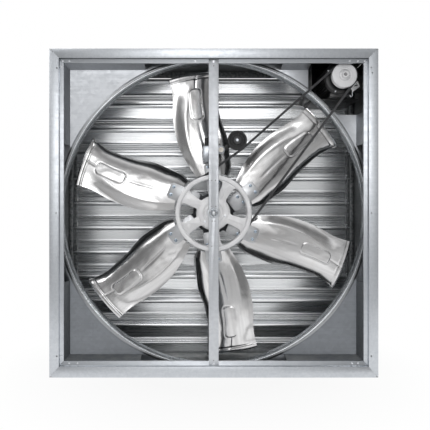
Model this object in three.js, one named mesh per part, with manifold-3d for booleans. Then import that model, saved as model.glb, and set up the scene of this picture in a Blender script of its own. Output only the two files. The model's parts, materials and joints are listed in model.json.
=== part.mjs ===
// Belt-driven poultry exhaust fan, seen from its intake side along +Y.
// Millimetres. Inside the model x runs right, y is the depth behind the casing's front face and z is the
// height over the fan's axis. The group at the end stands the fan on z = 0 with its middle at x = y = 0.
import * as THREE from 'three';
import { mergeVertices } from 'three/addons/utils/BufferGeometryUtils.js';
import Module from 'manifold-3d';

const wasm = await Module();
wasm.setup();

// Clearances that the whole model shares
const GAP = 0.3;
const OVERRUN = 5;

// Rotor, duct and casing, from the axis outwards
const ROTOR_DIAMETER = 1270;
const TIP_CLEARANCE = 22;
const RING_SHEET = 1.5;
const MOUTH_FLARE = 5;
const MOUTH_ROLL = 9;
const MOUTH_LIP = 13;
const RING_SIDE_CLEARANCE = 4.5;
const CASING_SHEET = 1.5;

// Axle and the nuts that clamp it, then the bars and the casing's front
const AXLE_RADIUS = 12.5;
const AXLE_THREAD_RADIUS = 8;
const THREAD_STANDOUT = 1.2;
const NUT_CORNER_RADIUS = 14.5;
const NUT_HEIGHT = 10;
const WASHER_RADIUS = 20;
const WASHER_HEIGHT = 2.5;
const BAR_WIDTH = 38.5;
const BAR_DEPTH = 22;
const BAR_SHEET = 3;
const BAR_LEG_CLEARANCE = 1;
const BAR_FOOT_LENGTH = 28;
const AXLE_RECESS = 0.7;
const FLANGE_WIDTH = 40;
const LIP_WIDTH = 16.5;
const LIP_HEM = 12;
const REAR_HEM = 12;
const SIDE_FACE_SHARE = 1;
const BOTTOM_FACE_SHARE = 1.15;

// Belt and its two pulleys
const BELT_TOP_WIDTH = 17;
const BELT_HEIGHT = 11;
const BELT_SIDE_ANGLE = THREE.MathUtils.degToRad(20);
const BELT_SIDE_CLEARANCE = 0.4;
const GROOVE_FLOOR_CLEARANCE = 1;
const FAN_PULLEY_RADIUS = 164;
const FAN_BELT_DROP = 12;
const RIM_WIDTH = 27;
const RIM_FACE = 20;
const RIM_DRAFT = 5;
const RIM_DRAFT_LENGTH = 8;
const RIM_BAR_CLEARANCE = 1.8;
const MOTOR_PULLEY_RADIUS = 56;
const MOTOR_BELT_DROP = 4;
const MOTOR_PULLEY_WIDTH = 24;

// Hub and web of the fan pulley, and the bearings inside
const BEARING_RADIUS = 26;
const BEARING_WIDTH = 15;
const BEARING_RECESS = 2.5;
const HUB_CAP_RADIUS = 39;
const HUB_DISC_RADIUS = 65;
const HUB_DISC_RECESS = 2.5;
const HUB_DISC_THICKNESS = 19;
const HUB_BARREL_RADIUS = 44;
const HUB_TAIL_RADIUS = 42;
const HUB_TAIL_LENGTH = 50;
const HUB_SEAT_RADIUS = 75;
const HUB_SEAT_THICKNESS = 9;
const WEB_RECESS = 4.5;
const WEB_THICKNESS = 12;
const WEB_RIM_OVERLAP = 2.5;
const SPOKE_HALF_WIDTH = 20;
const SPOKE_FLARE = 8;
const WINDOW_HUB_CLEARANCE = 5;
const WINDOW_RIM_CLEARANCE = 2;
const WINDOW_CORNER = 16;
const SPOKE_TURN_SHARES = [61.5 / 360, 150 / 360, 209 / 360, 273 / 360, 339 / 360];

// Star plate, brackets and blades
const SEAT_SETBACK = 34.5;
const STAR_DISC_RADIUS = 88;
const STAR_ARM_REACH = 150;
const STAR_ARM_WIDTH = 60;
const STAR_THICKNESS = 4;
const BRACKET_START = 80;
const BRACKET_REACH = 218;
const BRACKET_WIDTH = 70;
const BRACKET_CHAMFER = 9;
const BRACKET_THICKNESS = 3.5;
const BRACKET_OFFSET = -24;
const BLADE_COUNT = 6;
const FIRST_BLADE_ANGLE = THREE.MathUtils.degToRad(38);
const BLADE_SHEET = 1.5;
const BLADE_DEPTH = 130;
const BLADE_RIDGE_WEIGHT = 2;
const BLADE_SWEEP_SHARE = 0.03;

// Along the blade as shares of the rotor's radius, across it as shares of the same radius, positive
// towards the leading edge, and how deep as shares of the blade's depth
const BLADE_SHARES = [
  { along: 0.28, lead: 0.079, ridge: -0.110, trail: -0.157, leadDeep: 0.085, ridgeDeep: 0.000, trailDeep: 0.408 },
  { along: 0.35, lead: 0.110, ridge: -0.126, trail: -0.189, leadDeep: 0.069, ridgeDeep: 0.000, trailDeep: 0.600 },
  { along: 0.44, lead: 0.143, ridge: -0.135, trail: -0.198, leadDeep: 0.038, ridgeDeep: 0.031, trailDeep: 0.762 },
  { along: 0.55, lead: 0.172, ridge: -0.151, trail: -0.195, leadDeep: 0.015, ridgeDeep: 0.085, trailDeep: 0.854 },
  { along: 0.66, lead: 0.181, ridge: -0.150, trail: -0.159, leadDeep: 0.000, ridgeDeep: 0.154, trailDeep: 0.838 },
  { along: 0.76, lead: 0.176, ridge: -0.142, trail: -0.145, leadDeep: -0.008, ridgeDeep: 0.215, trailDeep: 0.769 },
  { along: 0.88, lead: 0.162, ridge: -0.139, trail: -0.143, leadDeep: 0.000, ridgeDeep: 0.254, trailDeep: 0.654 },
  { along: 1.00, lead: 0.172, ridge: -0.150, trail: -0.187, leadDeep: 0.023, ridgeDeep: 0.269, trailDeep: 0.500 },
];
const BLADE_STEPS_ALONG = 10;
const BLADE_STEPS_ACROSS = 7;

// Inlet ring and corner plates
const PLATE_SETBACK = 22.5;
const PLATE_SHEET = 1.5;
const PLATE_FLANGE = 30;
const PLATE_ARC_CLEARANCE = 2;
const PLATE_START_SHARE = 0.29;
const PAN_LEAN = 11;
const PAN_RING_CLEARANCE = 4;
const MOUTH_LENGTH = 14;
const RING_TAIL = 20;
const CUTOUT_LEFT_SHARE = 0.6;
const CUTOUT_BOTTOM_SHARE = 0.62;
const CUTOUT_TIP_ANGLE = THREE.MathUtils.degToRad(40);
const CUTOUT_TIP_CLEARANCE = 4;

// Motor and what carries it
const MOTOR_RADIUS = 78;
const MOTOR_ROOF_CLEARANCE = 23;
const MOTOR_WALL_CLEARANCE = 10;
const MOTOR_PLATE_LEAD = 10;
const MOTOR_LENGTH = 222;
const MOTOR_CAP_LENGTH = 14;
const MOTOR_CAP_EDGE = 6;
const MOTOR_CAP_BOSS_RADIUS = 30;
const MOTOR_CAP_BOSS_RISE = 4;
const STATOR_BORE_RADIUS = 48;
const ROTOR_CORE_RADIUS = 45;
const ROTOR_CORE_MARGIN = 20;
const SHAFT_RADIUS = 12;
const SHAFT_SEAT_DEPTH = 10;
const PULLEY_NOSE_RADIUS = 16;
const PULLEY_NOSE_REACH = 28;
const PULLEY_STEP_RADIUS = 24;
const PULLEY_STEP_REACH = 16;
const PULLEY_DISH = 2;
const PULLEY_TAIL_RADIUS = 20;
const PULLEY_TAIL_REACH = 18;
const MOTOR_FOOT_WIDTH = 100;
const MOTOR_FOOT_LENGTH = 40;
const MOTOR_FOOT_HEIGHT = 4;
const MOTOR_FOOT_BITE = 12;
const TRAY_SHEET = 4;
const TRAY_RING_CLEARANCE = 19;
const TRAY_SIDE_CLEARANCE = 46;
const TRAY_RIGHT_CLEARANCE = 7;
const TRAY_MARGIN_BEHIND = 30;
const TERMINAL_BOX_DEPTH = 42;
const TERMINAL_BOX_HEIGHT = 70;
const TERMINAL_BOX_LENGTH = 80;
const TERMINAL_BOX_SETBACK = 72;

// Small plate with a hook on the motor's front cap
const HOOK_PLATE_THICKNESS = 3;
const HOOK_PLATE_SPAN = 42;
const HOOK_WINDOW_INSET_SHARE = 0.48;
const HOOK_WIRE_RADIUS = 2.2;
const HOOK_DROP = 22;
const HOOK_CURL_RADIUS = 6;
const HOOK_CORNER_SHARES = [[1, 0], [0.74, 0.62], [0.04, -0.18], [0.24, -0.56]];
const HOOK_START_X = 35;
const HOOK_START_Z = -40;

// Belt tensioner, placed on the straight run that the belt would take without it
const IDLER_ALONG = 276.4;
const IDLER_PRESS = 17.8;
const IDLER_RUN_RADIUS = 36;
const IDLER_FLANGE_RADIUS = 41.6;
const IDLER_FLANGE = 2;
const IDLER_BELT_CLEARANCE = 0.4;
const IDLER_HUB_RADIUS = 17;
const IDLER_DISH = 7;
const IDLER_DISH_RADIUS = 31;
const IDLER_DISH_DRAFT = 3;
const IDLER_BOLT_RADIUS = 5;
const IDLER_BOLT_HEAD_RADIUS = 7.5;
const IDLER_BOLT_HEAD = 6;
const IDLER_NUT_RADIUS = 9;
const IDLER_NUT_HEIGHT = 5;
const ARM_ANGLE = THREE.MathUtils.degToRad(31);
const ARM_WIDTH = 17;
const ARM_THICKNESS = 10;
const ARM_EYE_RADIUS = 12;
const ARM_PIVOT_RADIUS = 6;
const ARM_BOSS_RADIUS = 14;
const ARM_PIVOT_BAR_CLEARANCE = 13;
const LEVER_REACH = 62;
const LEVER_THICKNESS = 10;
const SLEEVE_RADIUS = 8.5;
const SLEEVE_RISE = 54;
const TENSION_PLATE = 3;
const TENSION_EAR_RADIUS = 17;
const TENSION_STRIP_WIDTH = 30;
const TENSION_STRIP_DROP = 52;
const TENSION_FOOT_REACH = 27;
const PIVOT_HEAD_RADIUS = 10;
const PIVOT_HEAD = 3;
const SPRING_RADIUS = 7;
const SPRING_WIRE_RADIUS = 1.3;
const SPRING_CURLS = 7;
const SPRING_SEAT_CLEARANCE = 0.4;

// Rear bar, louvres and their frame
const REAR_BAR_SETBACK = 200;
const LOUVRE_BAR_CLEARANCE = 50;
const LOUVRE_TRAY_CLEARANCE = 42;
const LOUVRE_REAR_MARGIN = 28;
const LEAF_COUNT = 11;
const LEAF_TOP_MARGIN = 46;
const LEAF_BOTTOM_MARGIN = 25;
const LEAF_SHEET = 1.2;
const LEAF_OVERLAP = 10.5;
const LEAF_CURL_RADIUS = 10.4;
const LEAF_LAP_DEPTH = 12.4;
const LEAF_RIB_HEIGHT = 3;
const LEAF_RIB_COUNT = 3;
const LEAF_FLAT_END_SHARE = 0.53;
const LEAF_RIBS_END_SHARE = 0.80;
const LEAF_CURL_START = THREE.MathUtils.degToRad(30);
const LEAF_CURL_END = THREE.MathUtils.degToRad(250);
const LEAF_PLUG = 6;
const PIN_RADIUS = 3.5;
const PIN_CLEARANCE = 0.5;
const PIN_STANDOUT = 1.5;
const FRAME_WIDTH = 15.2;
const FRAME_DEPTH = 40;
const FRAME_SHEET = 1.5;
const ROD_BAY = 18;
const ROD_THICKNESS = 3;
const ROD_WIDTH = 12;
const ROD_SIDE_GAP = 1;
const ROD_END = 10;
const LEVER_RADIUS = 22;
const LEVER_ANGLE = THREE.MathUtils.degToRad(40);
const LEVER_SHEET = 3;
const LEVER_HEIGHT = 9;
const RAIL_DEPTH = 25;
const RAIL_CLEARANCE = 1;

// How finely round things are faceted
const RING_STEPS = 48;
const RIM_STEPS = 48;
const HUB_STEPS = 24;
const ROUND_STEPS = 20;
const SMALL_STEPS = 12;
const PIN_STEPS = 8;
const ARC_STEPS = 9;
const MOUTH_STEPS = 3;
const CURL_STEPS = 4;
const CORNER_STEPS = 2;
const CAP_STEPS = 3;
const BELT_STEP_ANGLE = THREE.MathUtils.degToRad(11);
const WIRE_SIDES = 6;
const SPRING_SIDES = 5;
const SPRING_STEPS = 8;
const HEX_SIDES = 6;

// Radii and half-widths that follow from the sizes above
const rotorRadius = ROTOR_DIAMETER / 2;
const throatRadius = rotorRadius + TIP_CLEARANCE;
const mouthRadius = throatRadius + MOUTH_FLARE;
const rollRadius = mouthRadius + MOUTH_ROLL;
const ringRadius = rollRadius + MOUTH_LIP;
const wallInner = ringRadius + RING_SIDE_CLEARANCE;
const casingHalf = wallInner + CASING_SHEET;
const plateWall = wallInner - GAP;
const plateArcRadius = rollRadius + PLATE_ARC_CLEARANCE;
const plateStart = casingHalf * PLATE_START_SHARE;
const fanBeltRadius = FAN_PULLEY_RADIUS - FAN_BELT_DROP;
const motorBeltRadius = MOTOR_PULLEY_RADIUS - MOTOR_BELT_DROP;

// Depths behind the front face, in the order in which things follow each other
const barWebFront = AXLE_RECESS + THREAD_STANDOUT + NUT_HEIGHT + WASHER_HEIGHT + GAP;
const lipDepth = barWebFront + BAR_SHEET + GAP;
const barBack = barWebFront + BAR_DEPTH;
const rimFront = barBack + RIM_BAR_CLEARANCE;
const beltPlane = rimFront + RIM_WIDTH / 2;
const rimBack = rimFront + RIM_WIDTH;
const plateDepth = rimBack + PLATE_SETBACK;
const motorFront = plateDepth - MOTOR_PLATE_LEAD;
const motorBack = motorFront + MOTOR_LENGTH;
const trayBack = motorBack + TRAY_MARGIN_BEHIND;
const seatDepth = rimBack + SEAT_SETBACK;
const rearBarFront = seatDepth + REAR_BAR_SETBACK;
const rearBarBack = rearBarFront + BAR_DEPTH;
const leafPivotDepth = Math.max(rearBarBack + LOUVRE_BAR_CLEARANCE, trayBack + LOUVRE_TRAY_CLEARANCE);
const casingDepth = leafPivotDepth + LOUVRE_REAR_MARGIN;
const ringTailDepth = plateDepth + MOUTH_LENGTH + RING_TAIL;

// Where the motor's shaft is, from the axis
const motorX = casingHalf - MOTOR_RADIUS - TERMINAL_BOX_DEPTH - MOTOR_WALL_CLEARANCE;
const motorZ = casingHalf - MOTOR_RADIUS - MOTOR_ROOF_CLEARANCE;

// Looks of the surfaces, as seen in daylight
const galvanised = new THREE.MeshStandardMaterial({ color: 0xc4c9ce, roughness: 0.38, metalness: 0.9 });
const brightZinc = new THREE.MeshStandardMaterial({ color: 0xd6dade, roughness: 0.3, metalness: 0.9 });
const stainless = new THREE.MeshStandardMaterial({ color: 0xd8d6d3, roughness: 0.15, metalness: 1 });
const castAluminium = new THREE.MeshStandardMaterial({ color: 0xd3d4d7, roughness: 0.55, metalness: 0.6 });
const darkSteel = new THREE.MeshStandardMaterial({ color: 0x6f7478, roughness: 0.45, metalness: 0.8 });
const blackPaint = new THREE.MeshStandardMaterial({ color: 0x101112, roughness: 0.5, metalness: 0.1 });
const blackRubber = new THREE.MeshStandardMaterial({ color: 0x1c1d1f, roughness: 0.75, metalness: 0 });
const louvreSheet = new THREE.MeshStandardMaterial({ color: 0xdfe2e6, roughness: 0.25, metalness: 0.9 });

// Welds a geometry's shared vertices and leaves out triangles without area
const weld = (geometry) => {
  const bare = geometry.clone();
  bare.deleteAttribute('normal');
  bare.deleteAttribute('uv');
  const merged = mergeVertices(bare);
  const corners = merged.index.array;
  const kept = [];
  for (let i = 0; i < corners.length; i += 3) {
    const [a, b, c] = [corners[i], corners[i + 1], corners[i + 2]];
    if (a !== b && b !== c && c !== a) kept.push(a, b, c);
  }
  merged.setIndex(kept);
  return merged;
};

const toSolid = (geometry) => {
  const welded = weld(geometry);
  return new wasm.Manifold(new wasm.Mesh({
    numProp: 3,
    vertProperties: new Float32Array(welded.attributes.position.array),
    triVerts: new Uint32Array(welded.index.array),
  }));
};

const toGeometry = (solid) => {
  const { vertProperties, triVerts } = solid.getMesh();
  const geometry = new THREE.BufferGeometry();
  geometry.setAttribute('position', new THREE.BufferAttribute(vertProperties, 3));
  geometry.setIndex(new THREE.BufferAttribute(triVerts, 1));
  return geometry;
};

const join = (...pieces) => toGeometry(pieces.map(toSolid).reduce((whole, piece) => whole.add(piece)));
const cut = (piece, ...tools) => toGeometry(
  tools.map(toSolid).reduce((rest, tool) => rest.subtract(tool), toSolid(piece)),
);

const part = (name, geometry, material) => {
  const welded = weld(geometry);
  welded.computeVertexNormals();
  const mesh = new THREE.Mesh(welded, material);
  mesh.name = name;
  return mesh;
};

// A ring or disc about the y axis from a closed profile of [radius, depth] points
const revolve = (profile, steps) => {
  const points = profile.map(([radius, depth]) => new THREE.Vector2(radius, depth));
  if (THREE.ShapeUtils.area(points) < 0) points.reverse();
  points.push(points[0].clone());
  return new THREE.LatheGeometry(points, steps);
};

const tube = (inner, outer, front, back, steps) => revolve(
  [[inner, front], [outer, front], [outer, back], [inner, back]],
  steps,
);

const disc = (radius, front, back, steps) => new THREE.CylinderGeometry(radius, radius, back - front, steps)
  .translate(0, (front + back) / 2, 0);

const block = ([left, right], [front, back], [low, high]) => new THREE.BoxGeometry(
  right - left,
  back - front,
  high - low,
).translate((left + right) / 2, (front + back) / 2, (low + high) / 2);

const toShape = (points) => new THREE.Shape(points.map(([across, up]) => new THREE.Vector2(across, up)));

const prism = (shape, length) => new THREE.ExtrudeGeometry(shape, { depth: length, bevelEnabled: false });

// A flat plate whose outline is drawn in x and z, from one depth to another
const plate = (shape, front, back) => prism(shape, back - front).rotateX(Math.PI / 2).translate(0, back, 0);

// A bar along x whose section is drawn in depth and z
const barAlongX = (shape, left, right) => prism(shape, right - left)
  .applyMatrix4(new THREE.Matrix4().makeBasis(
    new THREE.Vector3(0, 1, 0),
    new THREE.Vector3(0, 0, 1),
    new THREE.Vector3(1, 0, 0),
  ))
  .translate(left, 0, 0);

// A bar along z whose section is drawn in x and depth
const barAlongZ = (shape, low, high) => prism(shape, high - low).translate(0, 0, low);

const polar = (radius, angle) => [radius * Math.cos(angle), radius * Math.sin(angle)];

const arcPoints = (radius, from, to, steps) => Array.from(
  { length: steps + 1 },
  (_, i) => polar(radius, from + ((to - from) * i) / steps),
);

// The outline of a thin sheet that follows a line, thickened towards the line's left
const sheetOutline = (line, thickness) => {
  const offset = line.map(([across, up], i) => {
    const before = line[Math.max(i - 1, 0)];
    const after = line[Math.min(i + 1, line.length - 1)];
    const inAngle = Math.atan2(up - before[1], across - before[0]);
    const outAngle = Math.atan2(after[1] - up, after[0] - across);
    const first = i === 0 ? outAngle : inAngle;
    const last = i === line.length - 1 ? inAngle : outAngle;
    const middle = Math.atan2(Math.sin(first) + Math.sin(last), Math.cos(first) + Math.cos(last));
    const reach = thickness / Math.cos(middle - first);
    return [across - reach * Math.sin(middle), up + reach * Math.cos(middle)];
  });
  return [...line, ...offset.reverse()];
};

// Triangles between two stacks of rings or rows, closed all round
const gridQuads = (rows, columns, index, wrapRows) => {
  const faces = [];
  const lastRow = wrapRows ? rows : rows - 1;
  for (let i = 0; i < lastRow; i += 1) {
    for (let j = 0; j < columns - 1; j += 1) {
      const next = (i + 1) % rows;
      faces.push(index(i, j), index(next, j), index(next, j + 1));
      faces.push(index(i, j), index(next, j + 1), index(i, j + 1));
    }
  }
  return faces;
};

const signedVolume = (points, faces) => {
  let volume = 0;
  for (let i = 0; i < faces.length; i += 3) {
    const [a, b, c] = [points[faces[i]], points[faces[i + 1]], points[faces[i + 2]]];
    volume += a.dot(b.clone().cross(c));
  }
  return volume;
};

// A closed body from points and triangles that all turn the same way, faced outwards
const closedBody = (points, faces) => {
  const outward = signedVolume(points, faces) > 0 ? faces : faces.slice().reverse();
  const geometry = new THREE.BufferGeometry().setFromPoints(points);
  geometry.setIndex(outward);
  return geometry;
};

// A round wire along a line of points, with flat ends
const wire = (line, radius, sides) => {
  const points = [];
  const faces = [];
  let side = new THREE.Vector3(0, 1, 0);
  line.forEach((point, i) => {
    const before = line[Math.max(i - 1, 0)];
    const after = line[Math.min(i + 1, line.length - 1)];
    const forward = after.clone().sub(before).normalize();
    side = side.sub(forward.clone().multiplyScalar(side.dot(forward))).normalize();
    const up = forward.clone().cross(side);
    for (let k = 0; k < sides; k += 1) {
      const [across, rise] = polar(radius, (2 * Math.PI * k) / sides);
      points.push(point.clone().addScaledVector(side, across).addScaledVector(up, rise));
    }
    side = side.clone();
  });
  for (let i = 0; i < line.length - 1; i += 1) {
    for (let k = 0; k < sides; k += 1) {
      const next = (k + 1) % sides;
      faces.push(i * sides + k, i * sides + next, (i + 1) * sides + next);
      faces.push(i * sides + k, (i + 1) * sides + next, (i + 1) * sides + k);
    }
  }
  const last = (line.length - 1) * sides;
  for (let k = 1; k < sides - 1; k += 1) {
    faces.push(0, k + 1, k);
    faces.push(last, last + k, last + k + 1);
  }
  return closedBody(points, faces);
};

// Casing: one folded sheet a side, mitred at the corners
const casingProfile = (faceShare) => {
  const flangeEdge = FLANGE_WIDTH * faceShare;
  const lipEdge = (FLANGE_WIDTH + LIP_WIDTH) * faceShare;
  return toShape([
    [0, 0],
    [flangeEdge, 0],
    [flangeEdge, lipDepth],
    [lipEdge, lipDepth],
    [lipEdge, lipDepth + LIP_HEM],
    [lipEdge - CASING_SHEET, lipDepth + LIP_HEM],
    [lipEdge - CASING_SHEET, lipDepth + CASING_SHEET],
    [flangeEdge - CASING_SHEET, lipDepth + CASING_SHEET],
    [flangeEdge - CASING_SHEET, CASING_SHEET],
    [CASING_SHEET, CASING_SHEET],
    [CASING_SHEET, casingDepth - CASING_SHEET],
    [REAR_HEM, casingDepth - CASING_SHEET],
    [REAR_HEM, casingDepth],
    [0, casingDepth],
  ]);
};

const casingSide = (name, inward, faceShare, startShare, endShare) => {
  const geometry = prism(casingProfile(faceShare), 1);
  const corners = geometry.attributes.position;
  for (let i = 0; i < corners.count; i += 1) {
    const atEnd = corners.getZ(i) > 0;
    const slope = (atEnd ? endShare : startShare) / faceShare;
    const along = casingHalf - GAP - corners.getX(i) * slope;
    corners.setZ(i, atEnd ? along : -along);
  }
  const depthward = new THREE.Vector3(0, 1, 0);
  const lengthward = inward.clone().cross(depthward);
  geometry.applyMatrix4(new THREE.Matrix4().makeBasis(inward, depthward, lengthward));
  geometry.translate(-inward.x * casingHalf, 0, -inward.z * casingHalf);
  return part(name, geometry, galvanised);
};

const casing = () => {
  const group = new THREE.Group();
  const right = new THREE.Vector3(1, 0, 0);
  const up = new THREE.Vector3(0, 0, 1);
  const side = SIDE_FACE_SHARE;
  const bottom = BOTTOM_FACE_SHARE;
  group.add(casingSide('casing_top', up.clone().negate(), side, side, side));
  group.add(casingSide('casing_bottom', up, bottom, side, side));
  group.add(casingSide('casing_left', right, side, bottom, side));
  group.add(casingSide('casing_right', right.clone().negate(), side, side, bottom));
  return group;
};

// Upright bars: open channels with their web outside, towards the nut, and a hole for the axle's thread
const channelShape = (webFace, inward) => toShape([
  [-BAR_WIDTH / 2, webFace],
  [BAR_WIDTH / 2, webFace],
  [BAR_WIDTH / 2, webFace + inward * BAR_DEPTH],
  [BAR_WIDTH / 2 - BAR_SHEET, webFace + inward * BAR_DEPTH],
  [BAR_WIDTH / 2 - BAR_SHEET, webFace + inward * BAR_SHEET],
  [BAR_SHEET - BAR_WIDTH / 2, webFace + inward * BAR_SHEET],
  [BAR_SHEET - BAR_WIDTH / 2, webFace + inward * BAR_DEPTH],
  [-BAR_WIDTH / 2, webFace + inward * BAR_DEPTH],
]);

const axleHole = (front) => disc(
  AXLE_THREAD_RADIUS + GAP,
  front - OVERRUN,
  front + BAR_SHEET + OVERRUN,
  ROUND_STEPS,
);

const frontBar = () => {
  const lipTop = casingHalf - (FLANGE_WIDTH + LIP_WIDTH) * SIDE_FACE_SHARE - BAR_LEG_CLEARANCE;
  const lipBottom = casingHalf - (FLANGE_WIDTH + LIP_WIDTH) * BOTTOM_FACE_SHARE - BAR_LEG_CLEARANCE;
  const webTop = casingHalf - FLANGE_WIDTH * SIDE_FACE_SHARE - GAP;
  const webBottom = casingHalf - FLANGE_WIDTH * BOTTOM_FACE_SHARE - GAP;
  const channel = barAlongZ(channelShape(barWebFront, 1), -lipBottom, lipTop);
  const web = block(
    [-BAR_WIDTH / 2, BAR_WIDTH / 2],
    [barWebFront, barWebFront + BAR_SHEET],
    [-webBottom, webTop],
  );
  return part('front_bar', cut(join(channel, web), axleHole(barWebFront)), brightZinc);
};

const rearBar = () => {
  const channel = barAlongZ(channelShape(rearBarBack, -1), -plateWall, plateWall);
  const webFront = rearBarBack - BAR_SHEET;
  const foot = (low) => block(
    [-BAR_WIDTH / 2, BAR_WIDTH / 2],
    [webFront, webFront + BAR_FOOT_LENGTH],
    [low, low + BAR_SHEET],
  );
  const bar = join(channel, foot(-plateWall), foot(plateWall - BAR_SHEET));
  return part('rear_bar', cut(bar, axleHole(webFront)), galvanised);
};

// Axle with its nuts, clamped between the two bars
const axle = () => {
  const shoulderFront = barWebFront + BAR_SHEET + GAP;
  const shoulderBack = rearBarBack - BAR_SHEET - GAP;
  const threadBack = rearBarBack + GAP + WASHER_HEIGHT + NUT_HEIGHT + THREAD_STANDOUT;
  const shape = revolve([
    [0, AXLE_RECESS],
    [AXLE_THREAD_RADIUS, AXLE_RECESS],
    [AXLE_THREAD_RADIUS, shoulderFront],
    [AXLE_RADIUS, shoulderFront],
    [AXLE_RADIUS, shoulderBack],
    [AXLE_THREAD_RADIUS, shoulderBack],
    [AXLE_THREAD_RADIUS, threadBack],
    [0, threadBack],
  ], ROUND_STEPS);
  return part('axle', shape, brightZinc);
};

const axleNut = (name, seat, outward) => {
  const span = (from, to) => [Math.min(from, to), Math.max(from, to)];
  const washerEnd = seat + outward * WASHER_HEIGHT;
  const nutEnd = washerEnd + outward * NUT_HEIGHT;
  const washer = disc(WASHER_RADIUS, ...span(seat, washerEnd), ROUND_STEPS);
  const nut = disc(NUT_CORNER_RADIUS, ...span(seat, nutEnd), HEX_SIDES);
  const [front, back] = span(seat, nutEnd);
  const bore = disc(AXLE_THREAD_RADIUS + GAP, front - OVERRUN, back + OVERRUN, ROUND_STEPS);
  return part(name, cut(join(washer, nut), bore), brightZinc);
};

const bearing = (name, front) => part(
  name,
  tube(AXLE_RADIUS + GAP, BEARING_RADIUS, front, front + BEARING_WIDTH, HUB_STEPS),
  darkSteel,
);

// Half the width of a belt groove at a radius, round a belt whose top runs at another radius
const grooveHalf = (radius, beltTopRadius) => BELT_TOP_WIDTH / 2 + BELT_SIDE_CLEARANCE
  + (radius - beltTopRadius) * Math.tan(BELT_SIDE_ANGLE);

const grooveProfile = (rimRadius, beltRadius) => {
  const beltTop = beltRadius + BELT_HEIGHT / 2;
  const floor = beltRadius - BELT_HEIGHT / 2 - GROOVE_FLOOR_CLEARANCE;
  const mouthHalf = grooveHalf(rimRadius, beltTop);
  const floorHalf = grooveHalf(floor, beltTop);
  return [
    [rimRadius, beltPlane + mouthHalf],
    [floor, beltPlane + floorHalf],
    [floor, beltPlane - floorHalf],
    [rimRadius, beltPlane - mouthHalf],
  ];
};

// One opening between two spokes, with round corners
const pulleyWindow = (from, to) => {
  const inner = HUB_DISC_RADIUS + WINDOW_HUB_CLEARANCE;
  const outer = FAN_PULLEY_RADIUS - RIM_FACE - RIM_DRAFT - WINDOW_RIM_CLEARANCE;
  const edge = (radius, halfWidth) => Math.asin(halfWidth / radius);
  const spokeAt = (radius) => {
    const share = (radius - inner) / (outer - inner);
    return SPOKE_HALF_WIDTH + SPOKE_FLARE * share * share;
  };
  const corner = (radius, towards, atFrom) => {
    const side = edge(radius, spokeAt(radius));
    const rimAngle = atFrom ? from + side : to - side;
    const arcStep = (WINDOW_CORNER / radius) * (atFrom ? 1 : -1);
    const along = radius + towards * WINDOW_CORNER;
    const alongSide = edge(along, spokeAt(along));
    return {
      tip: new THREE.Vector2(...polar(radius, rimAngle)),
      onArc: rimAngle + arcStep,
      onSpoke: new THREE.Vector2(...polar(along, atFrom ? from + alongSide : to - alongSide)),
    };
  };
  const outerFrom = corner(outer, -1, true);
  const outerTo = corner(outer, -1, false);
  const innerFrom = corner(inner, 1, true);
  const innerTo = corner(inner, 1, false);
  const round = (start, tip, end) => new THREE.QuadraticBezierCurve(start, tip, end).getPoints(CORNER_STEPS);
  const arc = (radius, start, end) => arcPoints(radius, start, end, CORNER_STEPS)
    .map((point) => new THREE.Vector2(...point));
  const outerArc = arc(outer, outerFrom.onArc, outerTo.onArc);
  const innerArc = arc(inner, innerTo.onArc, innerFrom.onArc);
  const points = [
    ...round(outerFrom.onSpoke, outerFrom.tip, outerArc[0]),
    ...outerArc.slice(1, -1),
    ...round(outerArc.at(-1), outerTo.tip, outerTo.onSpoke),
    ...round(innerTo.onSpoke, innerTo.tip, innerArc[0]),
    ...innerArc.slice(1, -1),
    ...round(innerArc.at(-1), innerFrom.tip, innerFrom.onSpoke),
  ];
  return new THREE.Path(points);
};

const fanPulley = () => {
  const rimFaceInner = FAN_PULLEY_RADIUS - RIM_FACE;
  const rimInner = rimFaceInner - RIM_DRAFT;
  const rim = revolve([
    [rimInner, rimBack],
    [FAN_PULLEY_RADIUS, rimBack],
    ...grooveProfile(FAN_PULLEY_RADIUS, fanBeltRadius),
    [FAN_PULLEY_RADIUS, rimFront],
    [rimFaceInner, rimFront],
    [rimInner, rimFront + RIM_DRAFT_LENGTH],
  ], RIM_STEPS);
  const web = new THREE.Shape();
  web.absarc(0, 0, rimInner + WEB_RIM_OVERLAP, 0, 2 * Math.PI);
  SPOKE_TURN_SHARES.forEach((share, i) => {
    const wraps = i + 1 === SPOKE_TURN_SHARES.length;
    const nextShare = wraps ? SPOKE_TURN_SHARES[0] + 1 : SPOKE_TURN_SHARES[i + 1];
    web.holes.push(pulleyWindow(share * 2 * Math.PI, nextShare * 2 * Math.PI));
  });
  const webFront = rimFront + WEB_RECESS;
  const webPlate = plate(web, webFront, webFront + WEB_THICKNESS);
  const discFront = rimFront + HUB_DISC_RECESS;
  const discBack = discFront + HUB_DISC_THICKNESS;
  const seatBack = seatDepth - GAP;
  const hubShape = (boreRadius) => [
    [boreRadius, rimFront],
    [HUB_CAP_RADIUS, rimFront],
    [HUB_CAP_RADIUS, discFront],
    [HUB_DISC_RADIUS, discFront],
    [HUB_DISC_RADIUS, discBack],
    [HUB_BARREL_RADIUS, discBack],
    [HUB_BARREL_RADIUS, seatBack - HUB_SEAT_THICKNESS],
    [HUB_SEAT_RADIUS, seatBack - HUB_SEAT_THICKNESS],
    [HUB_SEAT_RADIUS, seatBack],
    [HUB_TAIL_RADIUS, seatBack],
    [HUB_TAIL_RADIUS, seatBack + HUB_TAIL_LENGTH],
    [boreRadius, seatBack + HUB_TAIL_LENGTH],
  ];
  const hub = revolve(hubShape(BEARING_RADIUS + GAP), HUB_STEPS);
  const bore = disc(BEARING_RADIUS + GAP, rimFront - OVERRUN, seatBack + HUB_TAIL_LENGTH + OVERRUN, HUB_STEPS);
  return part('fan_pulley', join(cut(join(rim, webPlate), bore), hub), castAluminium);
};

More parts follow.
